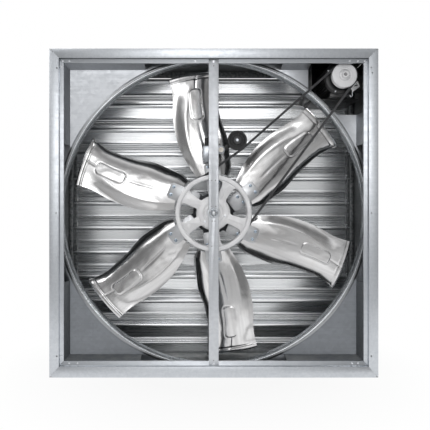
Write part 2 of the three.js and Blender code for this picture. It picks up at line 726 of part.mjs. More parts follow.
// Star plate: a disc with one arm for each blade
const bladeAngle = (k) => FIRST_BLADE_ANGLE + (2 * Math.PI * k) / BLADE_COUNT;

const starPlate = () => {
  const centre = disc(STAR_DISC_RADIUS, seatDepth, seatDepth + STAR_THICKNESS, HUB_STEPS);
  const arms = Array.from({ length: BLADE_COUNT }, (_, k) => block(
    [0, STAR_ARM_REACH],
    [seatDepth, seatDepth + STAR_THICKNESS],
    [BRACKET_OFFSET - STAR_ARM_WIDTH / 2, BRACKET_OFFSET + STAR_ARM_WIDTH / 2],
  ).rotateY(-bladeAngle(k)));
  const bore = disc(HUB_TAIL_RADIUS + GAP, seatDepth - OVERRUN, seatDepth + STAR_THICKNESS + OVERRUN, HUB_STEPS);
  return part('blade_spider', cut(join(centre, ...arms), bore), galvanised);
};

// Brackets lie flat on the star plate's arms and on the blades' roots, along +x before they are turned
const bladeBracket = (k) => {
  const low = BRACKET_OFFSET - BRACKET_WIDTH / 2;
  const high = BRACKET_OFFSET + BRACKET_WIDTH / 2;
  const outline = toShape([
    [BRACKET_START, low + BRACKET_CHAMFER],
    [BRACKET_START + BRACKET_CHAMFER, low],
    [BRACKET_REACH - BRACKET_CHAMFER, low],
    [BRACKET_REACH, low + BRACKET_CHAMFER],
    [BRACKET_REACH, high - BRACKET_CHAMFER],
    [BRACKET_REACH - BRACKET_CHAMFER, high],
    [BRACKET_START + BRACKET_CHAMFER, high],
    [BRACKET_START, high - BRACKET_CHAMFER],
  ]);
  const back = seatDepth - GAP;
  const mesh = part(`blade_bracket_${k + 1}`, plate(outline, back - BRACKET_THICKNESS, back), galvanised);
  mesh.rotation.y = -bladeAngle(k);
  return mesh;
};

// A value between the rows of a table, on a smooth curve through them
const between = (rows, key, at) => {
  const last = rows.length - 1;
  const found = rows.findIndex((row) => row.along >= at);
  const i = Math.max((found < 0 ? last : found) - 1, 0);
  const slope = (from, to) => (rows[to][key] - rows[from][key]) / (rows[to].along - rows[from].along);
  const slopeAt = (row) => slope(Math.max(row - 1, 0), Math.min(row + 1, last));
  const span = rows[i + 1].along - rows[i].along;
  const t = (at - rows[i].along) / span;
  const rise = rows[i + 1][key] - rows[i][key];
  const ease = t * t * (3 - 2 * t);
  return rows[i][key] + rise * ease
    + span * (slopeAt(i) * t * (1 - t) * (1 - t) - slopeAt(i + 1) * t * t * (1 - t));
};

// A point of the blade's front: the section at each radius is a curve with one soft ridge. It is
// placed by its distance from the axis, so that the tip stays inside the ring, and drawn in a little
// towards the leading edge.
const bladePoint = (along, across) => {
  const value = (key) => between(BLADE_SHARES, key, along);
  const weights = [(1 - across) ** 2, 2 * BLADE_RIDGE_WEIGHT * across * (1 - across), across ** 2];
  const total = weights[0] + weights[1] + weights[2];
  const mix = (lead, ridge, trail) => (
    weights[0] * value(lead) + weights[1] * value(ridge) + weights[2] * value(trail)
  ) / total;
  const offset = mix('lead', 'ridge', 'trail') * rotorRadius;
  const distance = along * rotorRadius * (1 - BLADE_SWEEP_SHARE * (1 - across));
  return new THREE.Vector3(
    Math.sqrt(distance * distance - offset * offset),
    mix('leadDeep', 'ridgeDeep', 'trailDeep') * BLADE_DEPTH,
    offset,
  );
};

const BLADE_NUDGE_SHARE = 0.001;
const bladeNormal = (along, across) => {
  const before = (value) => Math.max(value - BLADE_NUDGE_SHARE, 0);
  const firstAlong = Math.max(along - BLADE_NUDGE_SHARE, BLADE_SHARES[0].along);
  const lastAlong = Math.min(along + BLADE_NUDGE_SHARE, BLADE_SHARES.at(-1).along);
  const lastAcross = Math.min(across + BLADE_NUDGE_SHARE, 1);
  const outward = bladePoint(lastAlong, across).sub(bladePoint(firstAlong, across));
  const trailing = bladePoint(along, lastAcross).sub(bladePoint(along, before(across)));
  return outward.cross(trailing).normalize();
};

const bladeGrid = (offset) => {
  const rows = [];
  const firstAlong = BLADE_SHARES[0].along;
  const lastAlong = BLADE_SHARES.at(-1).along;
  for (let i = 0; i <= BLADE_STEPS_ALONG; i += 1) {
    const along = firstAlong + ((lastAlong - firstAlong) * i) / BLADE_STEPS_ALONG;
    const row = [];
    for (let j = 0; j <= BLADE_STEPS_ACROSS; j += 1) {
      const across = j / BLADE_STEPS_ACROSS;
      const point = bladePoint(along, across);
      row.push(point.addScaledVector(bladeNormal(along, across), offset));
    }
    rows.push(row);
  }
  return rows;
};

const underBracket = (point) => point.x < BRACKET_REACH && Math.abs(point.z - BRACKET_OFFSET) < BRACKET_WIDTH / 2;

const blade = () => {
  const front = bladeGrid(0);
  const facesRear = bladeNormal(BLADE_SHARES[1].along, 0).y > 0 ? 1 : -1;
  const back = bladeGrid(facesRear * BLADE_SHEET);
  const seated = front.flat().filter(underBracket).map((point) => point.y);
  const shift = seatDepth - Math.min(...seated);
  const rows = BLADE_STEPS_ALONG + 1;
  const columns = BLADE_STEPS_ACROSS + 1;
  const points = [...front.flat(), ...back.flat()];
  points.forEach((point) => point.setY(point.y + shift));
  const onFront = (i, j) => i * columns + j;
  const onBack = (i, j) => rows * columns + onFront(i, j);
  const faces = [
    ...gridQuads(rows, columns, onFront, false),
    ...gridQuads(rows, columns, (i, j) => onBack(i, columns - 1 - j), false),
  ];
  const edge = (first, second, steps) => {
    for (let k = 0; k < steps; k += 1) {
      faces.push(first(k), second(k), second(k + 1));
      faces.push(first(k), second(k + 1), first(k + 1));
    }
  };
  edge((k) => onFront(k, 0), (k) => onBack(k, 0), rows - 1);
  edge((k) => onBack(k, columns - 1), (k) => onFront(k, columns - 1), rows - 1);
  edge((k) => onBack(0, k), (k) => onFront(0, k), columns - 1);
  edge((k) => onFront(rows - 1, k), (k) => onBack(rows - 1, k), columns - 1);
  return closedBody(points, faces);
};

const rotor = () => {
  const group = new THREE.Group();
  group.add(fanPulley());
  group.add(starPlate());
  const shape = blade();
  for (let k = 0; k < BLADE_COUNT; k += 1) {
    const mesh = part(`blade_${k + 1}`, shape, stainless);
    mesh.rotation.y = -bladeAngle(k);
    group.add(mesh);
    group.add(bladeBracket(k));
  }
  return group;
};

// Inlet ring: flat lip, rolled mouth, straight tail
const inletRing = () => {
  const lipFront = plateDepth - GAP - RING_SHEET;
  const crestDepth = lipFront - MOUTH_ROLL / 2;
  const throatDepth = crestDepth + MOUTH_LENGTH;
  const mouth = Array.from({ length: MOUTH_STEPS + 1 }, (_, i) => {
    const turn = (Math.PI / 2) * (i / MOUTH_STEPS);
    return [mouthRadius - MOUTH_FLARE * Math.sin(turn), throatDepth - MOUTH_LENGTH * Math.cos(turn)];
  });
  const line = [
    [ringRadius, lipFront],
    [rollRadius, lipFront],
    [mouthRadius + MOUTH_ROLL / 2, crestDepth + RING_SHEET / 2],
    ...mouth,
    [throatRadius, ringTailDepth],
  ];
  return part('inlet_ring', revolve(sheetOutline(line, -RING_SHEET), RING_STEPS), galvanised);
};

// Corner plates: a folded sheet in each corner, cut round by the ring. Outlines are drawn in the
// corner where x and z are positive and mirrored into place.
const mirrored = (points, [signX, signZ]) => toShape(points.map(([x, z]) => [x * signX, z * signZ]));

const plateArc = (from, to) => arcPoints(plateArcRadius, from, to, ARC_STEPS);

// Sides of the pan that each corner makes: they lean out from the plate's face to the casing's lip, as
// far round as the ring leaves them room
const panFront = lipDepth + LIP_HEM + GAP;
const panEdge = (faceShare) => casingHalf - (FLANGE_WIDTH + LIP_WIDTH) * faceShare - PAN_LEAN;
const besideRing = (edge) => Math.sqrt((ringRadius + PAN_RING_CLEARANCE) ** 2 - edge ** 2);

const panSection = (edge) => [
  [edge, plateDepth + PLATE_SHEET],
  [edge + PAN_LEAN, panFront],
  [edge + PAN_LEAN + PLATE_SHEET, panFront],
  [edge + PLATE_SHEET, plateDepth + PLATE_SHEET],
];

const signedSpan = (sign, from, to) => [Math.min(sign * from, sign * to), Math.max(sign * from, sign * to)];

const panSide = (edge, [signX, signZ], end) => barAlongZ(
  toShape(panSection(edge).map(([x, depth]) => [x * signX, depth])),
  ...signedSpan(signZ, besideRing(edge), end),
);

const panRoof = (edge, [signX, signZ], end) => barAlongX(
  toShape(panSection(edge).map(([z, depth]) => [depth, z * signZ])),
  ...signedSpan(signX, besideRing(edge), end),
);

const cornerPlate = (name, signs, roofShare) => {
  const sideEdge = panEdge(SIDE_FACE_SHARE);
  const roofEdge = panEdge(roofShare);
  const face = [
    [plateWall, plateStart],
    [plateWall, plateWall],
    ...plateArc(Math.acos(plateStart / plateArcRadius), Math.asin(plateStart / plateArcRadius))
      .toSpliced(0, 0, [plateStart, plateWall]),
  ];
  const flange = [
    [plateWall, plateStart],
    [plateWall, plateWall],
    [plateStart, plateWall],
    [plateStart, plateWall - PLATE_SHEET],
    [plateWall - PLATE_SHEET, plateWall - PLATE_SHEET],
    [plateWall - PLATE_SHEET, plateStart],
  ];
  return part(name, join(
    plate(mirrored(face, signs), plateDepth, plateDepth + PLATE_SHEET),
    plate(mirrored(flange, signs), plateDepth, plateDepth + PLATE_FLANGE),
    panSide(sideEdge, signs, roofEdge + PAN_LEAN),
    panRoof(roofEdge, signs, sideEdge + PAN_LEAN),
  ), galvanised);
};

const cutoutLeft = casingHalf * CUTOUT_LEFT_SHARE;
const cutoutBottom = casingHalf * CUTOUT_BOTTOM_SHARE;

const motorPlateUpper = () => {
  const reachAngle = Math.acos(plateStart / plateArcRadius);
  const cutAngle = Math.acos(cutoutLeft / plateArcRadius);
  const [, cutFoot] = polar(plateArcRadius, cutAngle);
  const face = [
    [cutoutLeft, plateWall],
    [plateStart, plateWall],
    ...plateArc(reachAngle, cutAngle),
  ];
  const flange = [
    [cutoutLeft, cutFoot + PLATE_FLANGE / 2],
    [cutoutLeft, plateWall],
    [plateStart, plateWall],
    [plateStart, plateWall - PLATE_SHEET],
    [cutoutLeft - PLATE_SHEET, plateWall - PLATE_SHEET],
    [cutoutLeft - PLATE_SHEET, cutFoot + PLATE_FLANGE / 2],
  ];
  return part('corner_plate_motor_upper', join(
    plate(toShape(face), plateDepth, plateDepth + PLATE_SHEET),
    plate(toShape(flange), plateDepth, plateDepth + PLATE_FLANGE),
    panRoof(panEdge(SIDE_FACE_SHARE), [1, 1], cutoutLeft),
  ), galvanised);
};

const motorPlateLower = () => {
  const [tipX, tipZ] = polar(ringRadius + CUTOUT_TIP_CLEARANCE, CUTOUT_TIP_ANGLE);
  const chamferX = tipX + tipZ - cutoutBottom;
  const face = [
    [plateWall, plateStart],
    [plateWall, cutoutBottom],
    [chamferX, cutoutBottom],
    [tipX, tipZ],
    ...plateArc(CUTOUT_TIP_ANGLE, Math.asin(plateStart / plateArcRadius)),
  ];
  const flange = [
    [plateWall, plateStart],
    [plateWall, cutoutBottom],
    [chamferX, cutoutBottom],
    [chamferX, cutoutBottom - PLATE_SHEET],
    [plateWall - PLATE_SHEET, cutoutBottom - PLATE_SHEET],
    [plateWall - PLATE_SHEET, plateStart],
  ];
  return part('corner_plate_motor_lower', join(
    plate(toShape(face), plateDepth, plateDepth + PLATE_SHEET),
    plate(toShape(flange), plateDepth, plateDepth + PLATE_FLANGE),
    panSide(panEdge(SIDE_FACE_SHARE), [1, 1], cutoutBottom),
  ), galvanised);
};

const inlet = () => {
  const group = new THREE.Group();
  group.add(inletRing());
  group.add(cornerPlate('corner_plate_top_left', [-1, 1], SIDE_FACE_SHARE));
  group.add(cornerPlate('corner_plate_bottom_left', [-1, -1], BOTTOM_FACE_SHARE));
  group.add(cornerPlate('corner_plate_bottom_right', [1, -1], BOTTOM_FACE_SHARE));
  group.add(motorPlateUpper());
  group.add(motorPlateLower());
  return group;
};

// Circles that the belt runs round. side is 1 where the belt turns round the circle clockwise, seen
// from the front, and -1 where its back runs on it.
const fanCircle = { x: 0, z: 0, radius: fanBeltRadius, side: 1 };
const motorCircle = { x: motorX, z: motorZ, radius: motorBeltRadius, side: 1 };

// The angle of the straight run's left-hand normal, from one circle to the next
const runNormal = (from, to) => {
  const distance = Math.hypot(to.x - from.x, to.z - from.z);
  const heading = Math.atan2(to.z - from.z, to.x - from.x);
  return heading + Math.acos((from.side * from.radius - to.side * to.radius) / distance);
};

// Idler wheel's centre: so far along the direct upper run, pressing it so far inwards
const idlerCircle = (() => {
  const normal = runNormal(fanCircle, motorCircle);
  const [normalX, normalZ] = polar(1, normal);
  const [alongX, alongZ] = polar(1, normal - Math.PI / 2);
  const radius = IDLER_RUN_RADIUS + IDLER_BELT_CLEARANCE + BELT_HEIGHT / 2;
  const lift = fanBeltRadius + radius - IDLER_PRESS;
  return {
    x: normalX * lift + alongX * IDLER_ALONG,
    z: normalZ * lift + alongZ * IDLER_ALONG,
    radius,
    side: -1,
  };
})();

const vBelt = () => {
  const circles = [fanCircle, idlerCircle, motorCircle];
  const stations = [];
  circles.forEach((circle, i) => {
    const arriving = runNormal(circles.at(i - 1), circle);
    const leaving = runNormal(circle, circles[(i + 1) % circles.length]);
    const turn = THREE.MathUtils.euclideanModulo(circle.side * (arriving - leaving), 2 * Math.PI);
    const steps = Math.max(Math.ceil(turn / BELT_STEP_ANGLE), 1);
    for (let k = 0; k <= steps; k += 1) {
      const angle = arriving - (circle.side * turn * k) / steps;
      const [outX, outZ] = polar(1, angle);
      const reach = circle.side * circle.radius;
      stations.push({ x: circle.x + outX * reach, z: circle.z + outZ * reach, outX, outZ });
    }
  });
  const topHalf = BELT_TOP_WIDTH / 2;
  const bottomHalf = topHalf - BELT_HEIGHT * Math.tan(BELT_SIDE_ANGLE);
  const section = [
    [BELT_HEIGHT / 2, -topHalf],
    [BELT_HEIGHT / 2, topHalf],
    [-BELT_HEIGHT / 2, bottomHalf],
    [-BELT_HEIGHT / 2, -bottomHalf],
  ];
  const points = stations.flatMap(({ x, z, outX, outZ }) => section.map(([out, across]) => (
    new THREE.Vector3(x + outX * out, beltPlane + across, z + outZ * out)
  )));
  const index = (i, j) => i * section.length + (j % section.length);
  const faces = gridQuads(stations.length, section.length + 1, index, true);
  return part('v_belt', closedBody(points, faces), blackRubber);
};

// Motor, in its own group at the shaft
const motorPulley = () => {
  const half = MOTOR_PULLEY_WIDTH / 2;
  const front = beltPlane - half;
  const bore = SHAFT_RADIUS + GAP;
  return part('motor_pulley', revolve([
    [bore, beltPlane - PULLEY_NOSE_REACH],
    [PULLEY_NOSE_RADIUS, beltPlane - PULLEY_NOSE_REACH],
    [PULLEY_NOSE_RADIUS, beltPlane - PULLEY_STEP_REACH - PULLEY_DISH],
    [PULLEY_STEP_RADIUS, beltPlane - PULLEY_STEP_REACH],
    [PULLEY_STEP_RADIUS, front + PULLEY_DISH],
    [MOTOR_PULLEY_RADIUS - PULLEY_DISH, front],
    [MOTOR_PULLEY_RADIUS, front + PULLEY_DISH],
    ...grooveProfile(MOTOR_PULLEY_RADIUS, motorBeltRadius).reverse(),
    [MOTOR_PULLEY_RADIUS, beltPlane + half],
    [PULLEY_TAIL_RADIUS, beltPlane + half],
    [PULLEY_TAIL_RADIUS, beltPlane + PULLEY_TAIL_REACH],
    [bore, beltPlane + PULLEY_TAIL_REACH],
  ], HUB_STEPS), castAluminium);
};

const motorShaft = () => {
  const front = beltPlane - PULLEY_NOSE_REACH + PULLEY_DISH;
  const back = motorBack - MOTOR_CAP_LENGTH + SHAFT_SEAT_DEPTH;
  const coreFront = motorFront + MOTOR_CAP_LENGTH + ROTOR_CORE_MARGIN;
  const coreBack = motorBack - MOTOR_CAP_LENGTH - ROTOR_CORE_MARGIN;
  return part('motor_shaft', revolve([
    [0, front],
    [SHAFT_RADIUS, front],
    [SHAFT_RADIUS, coreFront],
    [ROTOR_CORE_RADIUS, coreFront],
    [ROTOR_CORE_RADIUS, coreBack],
    [SHAFT_RADIUS, coreBack],
    [SHAFT_RADIUS, back],
    [0, back],
  ], ROUND_STEPS), darkSteel);
};

const motorBody = () => {
  const front = motorFront + MOTOR_CAP_LENGTH + GAP;
  const back = motorBack - MOTOR_CAP_LENGTH - GAP;
  const shell = tube(STATOR_BORE_RADIUS, MOTOR_RADIUS, front, back, HUB_STEPS);
  const foot = (from) => block(
    [-MOTOR_FOOT_WIDTH / 2, MOTOR_FOOT_WIDTH / 2],
    [from, from + MOTOR_FOOT_LENGTH],
    [-MOTOR_RADIUS - MOTOR_FOOT_HEIGHT, -MOTOR_RADIUS + MOTOR_FOOT_BITE],
  );
  const feet = [foot(front), foot(back - MOTOR_FOOT_LENGTH)];
  return part('motor_body', join(shell, ...feet), blackPaint);
};

const motorFrontCap = () => {
  const bore = SHAFT_RADIUS + GAP;
  return part('motor_front_cap', revolve([
    [bore, motorFront],
    [MOTOR_CAP_BOSS_RADIUS, motorFront],
    [MOTOR_CAP_BOSS_RADIUS, motorFront + MOTOR_CAP_BOSS_RISE],
    [MOTOR_RADIUS - MOTOR_CAP_EDGE, motorFront + MOTOR_CAP_BOSS_RISE],
    [MOTOR_RADIUS, motorFront + MOTOR_CAP_BOSS_RISE + MOTOR_CAP_EDGE],
    [MOTOR_RADIUS, motorFront + MOTOR_CAP_LENGTH],
    [bore, motorFront + MOTOR_CAP_LENGTH],
  ], HUB_STEPS), blackPaint);
};

const motorRearCap = () => {
  const bore = SHAFT_RADIUS + GAP;
  const front = motorBack - MOTOR_CAP_LENGTH;
  const seat = front + SHAFT_SEAT_DEPTH + GAP;
  return part('motor_rear_cap', revolve([
    [bore, front],
    [MOTOR_RADIUS, front],
    [MOTOR_RADIUS, motorBack - MOTOR_CAP_EDGE],
    [MOTOR_RADIUS - MOTOR_CAP_EDGE, motorBack],
    [0, motorBack],
    [0, seat],
    [bore, seat],
  ], HUB_STEPS), blackPaint);
};

const terminalBox = () => {
  const front = motorFront + TERMINAL_BOX_SETBACK;
  return part('terminal_box', block(
    [MOTOR_RADIUS + GAP, MOTOR_RADIUS + TERMINAL_BOX_DEPTH],
    [front, front + TERMINAL_BOX_LENGTH],
    [-TERMINAL_BOX_HEIGHT / 2, TERMINAL_BOX_HEIGHT / 2],
  ), blackPaint);
};

const hookBracket = () => {
  const back = motorFront + MOTOR_CAP_BOSS_RISE - GAP;
  const front = back - HOOK_PLATE_THICKNESS;
  const middleOf = (points, axis) => points.reduce((sum, point) => sum + point[axis], 0) / points.length;
  const corners = HOOK_CORNER_SHARES.map(([x, z]) => [
    HOOK_START_X + x * HOOK_PLATE_SPAN,
    HOOK_START_Z + z * HOOK_PLATE_SPAN,
  ]);
  const upper = corners.slice(0, -1);
  const centre = [middleOf(upper, 0), middleOf(upper, 1)];
  const inset = (point) => point.map((value, axis) => (
    centre[axis] + (value - centre[axis]) * HOOK_WINDOW_INSET_SHARE
  ));
  const outline = toShape(corners);
  outline.holes.push(new THREE.Path(upper.map((point) => new THREE.Vector2(...inset(point)))));
  const [startX, startZ] = corners.at(-1);
  const middle = (front + back) / 2;
  const straight = [
    new THREE.Vector3(startX, middle, startZ + HOOK_CURL_RADIUS),
    new THREE.Vector3(startX, middle, startZ - HOOK_DROP),
  ];
  const curl = arcPoints(HOOK_CURL_RADIUS, 0, -Math.PI, CURL_STEPS).slice(1).map(([x, z]) => (
    new THREE.Vector3(startX - HOOK_CURL_RADIUS + x, middle, startZ - HOOK_DROP + z)
  ));
  const hook = wire([...straight, ...curl], HOOK_WIRE_RADIUS, WIRE_SIDES);
  return part('hook_bracket', join(plate(outline, front, back), hook), brightZinc);
};

// Folded tray that hangs from the roof and carries the motor. Its corner keeps clear of the ring.
const motorTray = () => {
  const shelfTop = -MOTOR_RADIUS - MOTOR_FOOT_HEIGHT - GAP;
  const shelfBottom = shelfTop - TRAY_SHEET;
  const left = -MOTOR_RADIUS - TRAY_SIDE_CLEARANCE;
  const right = MOTOR_RADIUS + TRAY_RIGHT_CLEARANCE;
  const roof = plateWall - motorZ;
  const front = motorFront + TERMINAL_BOX_SETBACK - BAR_FOOT_LENGTH / 2;
  const keepOut = disc(throatRadius + TRAY_RING_CLEARANCE, front - OVERRUN, trayBack + OVERRUN, RING_STEPS)
    .translate(-motorX, 0, -motorZ);
  const tray = join(
    block([left, left + TRAY_SHEET], [front, trayBack], [shelfBottom, roof]),
    block([left, right], [front, trayBack], [shelfBottom, shelfTop]),
    block([left, right], [trayBack - TRAY_SHEET, trayBack], [shelfBottom, roof]),
  );
  return part('motor_bracket', cut(tray, keepOut), blackPaint);
};

const motor = () => {
  const group = new THREE.Group();
  group.position.set(motorX, 0, motorZ);
  group.add(motorPulley(), motorShaft(), motorBody(), motorFrontCap(), motorRearCap());
  group.add(terminalBox(), hookBracket(), motorTray());
  return group;
};

// Belt tensioner
const armPivotX = BAR_WIDTH / 2 + ARM_PIVOT_BAR_CLEARANCE;
const armPivotZ = idlerCircle.z - (idlerCircle.x - armPivotX) * Math.tan(ARM_ANGLE);
const armLength = (idlerCircle.x - armPivotX) / Math.cos(ARM_ANGLE);
const springX = armPivotX - LEVER_REACH;
const idlerHalf = BELT_TOP_WIDTH / 2 + BELT_SIDE_CLEARANCE + IDLER_FLANGE;
const idlerFront = beltPlane - idlerHalf;
const idlerBack = beltPlane + idlerHalf;
const armFront = idlerBack + GAP;
const armBack = armFront + ARM_THICKNESS;
const bossFront = barBack + GAP + TENSION_PLATE + GAP;
const leverLow = armPivotZ - LEVER_THICKNESS / 2;
const footTop = armPivotZ - TENSION_STRIP_DROP + TENSION_PLATE;

const idlerWheel = () => {
  const bore = IDLER_BOLT_RADIUS + GAP;
  const runFront = idlerFront + IDLER_FLANGE;
  const runBack = idlerBack - IDLER_FLANGE;
  return part('idler_wheel', revolve([
    [bore, idlerFront],
    [IDLER_HUB_RADIUS, idlerFront],
    [IDLER_HUB_RADIUS + IDLER_DISH_DRAFT, idlerFront + IDLER_DISH],
    [IDLER_DISH_RADIUS, idlerFront + IDLER_DISH],
    [IDLER_DISH_RADIUS + IDLER_DISH_DRAFT, idlerFront],
    [IDLER_FLANGE_RADIUS, idlerFront],
    [IDLER_FLANGE_RADIUS, runFront],
    [IDLER_RUN_RADIUS, runFront],
    [IDLER_RUN_RADIUS, runBack],
    [IDLER_FLANGE_RADIUS, runBack],
    [IDLER_FLANGE_RADIUS, idlerBack],
    [bore, idlerBack],
  ], HUB_STEPS).translate(idlerCircle.x, 0, idlerCircle.z), blackRubber);
};

const idlerBolt = () => {
  const headBack = idlerFront - GAP;
  const nutFront = armBack + GAP;
  return part('idler_bolt', revolve([
    [0, headBack - IDLER_BOLT_HEAD],
    [IDLER_BOLT_HEAD_RADIUS, headBack - IDLER_BOLT_HEAD],
    [IDLER_BOLT_HEAD_RADIUS, headBack],
    [IDLER_BOLT_RADIUS, headBack],
    [IDLER_BOLT_RADIUS, nutFront],
    [IDLER_NUT_RADIUS, nutFront],
    [IDLER_NUT_RADIUS, nutFront + IDLER_NUT_HEIGHT],
    [0, nutFront + IDLER_NUT_HEIGHT],
  ], SMALL_STEPS).translate(idlerCircle.x, 0, idlerCircle.z), brightZinc);
};

const tensionerArm = () => {
  const boss = disc(ARM_BOSS_RADIUS, bossFront, armBack, ROUND_STEPS);
  const arm = block([0, armLength], [armFront, armBack], [-ARM_WIDTH / 2, ARM_WIDTH / 2]).rotateY(-ARM_ANGLE);
  const [eyeX, eyeZ] = polar(armLength, ARM_ANGLE);
  const eye = disc(ARM_EYE_RADIUS, armFront, armBack, ROUND_STEPS).translate(eyeX, 0, eyeZ);
  const lever = block(
    [-LEVER_REACH - SLEEVE_RADIUS, 0],
    [beltPlane - LEVER_THICKNESS / 2, beltPlane + LEVER_THICKNESS / 2],
    [-LEVER_THICKNESS / 2, LEVER_THICKNESS / 2],
  );
  const shoulder = SLEEVE_RISE - SLEEVE_RADIUS / 2;
  const dome = Array.from({ length: CAP_STEPS + 1 }, (_, i) => {
    const turn = (Math.PI / 2) * (i / CAP_STEPS);
    return [SLEEVE_RADIUS * Math.cos(turn), shoulder + (SLEEVE_RADIUS / 2) * Math.sin(turn)];
  });
  const sleeve = revolve([[0, 0], [SLEEVE_RADIUS, 0], ...dome], SMALL_STEPS)
    .rotateX(Math.PI / 2)
    .translate(-LEVER_REACH, beltPlane, 0);
  const pinHole = disc(ARM_PIVOT_RADIUS + GAP, bossFront - OVERRUN, armBack + OVERRUN, ROUND_STEPS);
  const boltHole = disc(IDLER_BOLT_RADIUS + GAP, armFront - OVERRUN, armBack + OVERRUN, ROUND_STEPS)
    .translate(eyeX, 0, eyeZ);
  const whole = cut(join(boss, arm, eye, lever, sleeve), pinHole, boltHole);
  return part('tensioner_arm', whole.translate(armPivotX, 0, armPivotZ), blackPaint);
};

const tensionerBracket = () => {
  const front = barBack + GAP;
  const back = front + TENSION_PLATE;
  const stripLeft = -LEVER_REACH - TENSION_STRIP_WIDTH / 2;
  const ear = disc(TENSION_EAR_RADIUS, front, back, ROUND_STEPS);
  const cross = block([stripLeft, 0], [front, back], [-TENSION_EAR_RADIUS, TENSION_EAR_RADIUS]);
  const strip = block(
    [stripLeft, stripLeft + TENSION_STRIP_WIDTH],
    [front, back],
    [-TENSION_STRIP_DROP, TENSION_EAR_RADIUS],
  );
  const foot = block(
    [stripLeft, stripLeft + TENSION_STRIP_WIDTH],
    [front, front + TENSION_FOOT_REACH],
    [-TENSION_STRIP_DROP, -TENSION_STRIP_DROP + TENSION_PLATE],
  );
  const pin = disc(ARM_PIVOT_RADIUS, front, armBack + GAP + PIVOT_HEAD, ROUND_STEPS);
  const head = disc(PIVOT_HEAD_RADIUS, armBack + GAP, armBack + GAP + PIVOT_HEAD, ROUND_STEPS);
  const whole = join(ear, cross, strip, foot, pin, head);
  return part('tensioner_bracket', whole.translate(armPivotX, 0, armPivotZ), galvanised);
};

// Least free distance between two turns of a wound wire, leaving out neighbours along it
const leastGap = (line, radius, near) => {
  let least = Infinity;
  for (let i = 0; i < line.length; i += 1) {
    for (let j = i + near; j < line.length; j += 1) least = Math.min(least, line[i].distanceTo(line[j]));
  }
  return least - 2 * radius;
};

const tensionerSpring = () => {
  const low = footTop + SPRING_WIRE_RADIUS + SPRING_SEAT_CLEARANCE;
  const high = leverLow - SPRING_WIRE_RADIUS - SPRING_SEAT_CLEARANCE;
  const steps = SPRING_CURLS * SPRING_STEPS;
  const line = Array.from({ length: steps + 1 }, (_, i) => {
    const [x, y] = polar(SPRING_RADIUS, (2 * Math.PI * i) / SPRING_STEPS);
    return new THREE.Vector3(springX + x, beltPlane + y, low + ((high - low) * i) / steps);
  });
  console.log('tensioner_spring, least gap between curls:', leastGap(line, SPRING_WIRE_RADIUS, SPRING_STEPS - 1));
  return part('tensioner_spring', wire(line, SPRING_WIRE_RADIUS, SPRING_SIDES), darkSteel);
};

const tensioner = () => {
  const group = new THREE.Group();
  group.add(idlerWheel(), idlerBolt(), tensionerArm(), tensionerBracket(), tensionerSpring());
  return group;
};

// Louvres. A leaf is a folded sheet that hangs from the pins at its curl and laps the next curl.
const leafPitch = (2 * casingHalf - LEAF_TOP_MARGIN - LEAF_BOTTOM_MARGIN) / LEAF_COUNT;
const firstPivotZ = casingHalf - LEAF_TOP_MARGIN;
const leafPivotZ = (k) => firstPivotZ - k * leafPitch;
const frameWebX = wallInner - GAP - FRAME_WIDTH;
const leafHalf = frameWebX - ROD_BAY;
const rodLeft = leafHalf + ROD_SIDE_GAP;

const leverForward = LEVER_RADIUS * Math.cos(LEVER_ANGLE);
const leverRise = LEVER_RADIUS * Math.sin(LEVER_ANGLE);

const curlLine = (radius) => arcPoints(radius, LEAF_CURL_START, LEAF_CURL_END, CURL_STEPS);

const leafLine = () => {
  const neckZ = -LEAF_CURL_RADIUS - LEAF_RIB_HEIGHT;
  const lapZ = LEAF_CURL_RADIUS - leafPitch;
  const depthAt = (z) => {
    const share = (neckZ - z) / (neckZ - lapZ);
    return LEAF_RIB_HEIGHT + (LEAF_LAP_DEPTH - LEAF_RIB_HEIGHT) * share;
  };
  const onSheet = (z, forward) => [depthAt(z) - forward, z];
  const flatEnd = -LEAF_FLAT_END_SHARE * leafPitch;
  const ribsEnd = -LEAF_RIBS_END_SHARE * leafPitch;
  const ribs = [];
  for (let i = 0; i <= 2 * LEAF_RIB_COUNT; i += 1) {
    const z = flatEnd + ((ribsEnd - flatEnd) * i) / (2 * LEAF_RIB_COUNT);
    ribs.push(onSheet(z, i % 2 === 1 ? LEAF_RIB_HEIGHT : 0));
  }
  return [
    ...curlLine(LEAF_CURL_RADIUS),
    onSheet(neckZ, 0),
    ...ribs,
    onSheet(lapZ, 0),
    [LEAF_LAP_DEPTH + LEAF_SHEET, -leafPitch - LEAF_OVERLAP],
  ];
};

const leafShape = () => {
  const sheet = barAlongX(toShape(sheetOutline(leafLine(), LEAF_SHEET)), -leafHalf, leafHalf);
  const plug = (left) => barAlongX(
    toShape(curlLine(LEAF_CURL_RADIUS - LEAF_SHEET / 2)),
    left,
    left + LEAF_PLUG,
  );
  const pin = (left, right) => new THREE.CylinderGeometry(PIN_RADIUS, PIN_RADIUS, right - left, PIN_STEPS)
    .rotateZ(Math.PI / 2)
    .translate((left + right) / 2, 0, 0);
  const pinReach = frameWebX + FRAME_SHEET + PIN_STANDOUT;
  const lever = block(
    [leafHalf - LEVER_SHEET, leafHalf],
    [-LEVER_RADIUS - LEVER_HEIGHT / 2, 0],
    [-LEVER_HEIGHT / 2, LEVER_HEIGHT / 2],
  ).rotateX(-LEVER_ANGLE);
  const leverPin = pin(leafHalf - LEVER_SHEET, rodLeft + ROD_THICKNESS + PIN_STANDOUT)
    .translate(0, -leverForward, leverRise);
  return join(
    sheet,
    plug(-leafHalf),
    plug(leafHalf - LEAF_PLUG),
    pin(-pinReach, -leafHalf + LEAF_PLUG),
    pin(leafHalf - LEAF_PLUG, pinReach),
    lever,
    leverPin,
  );
};

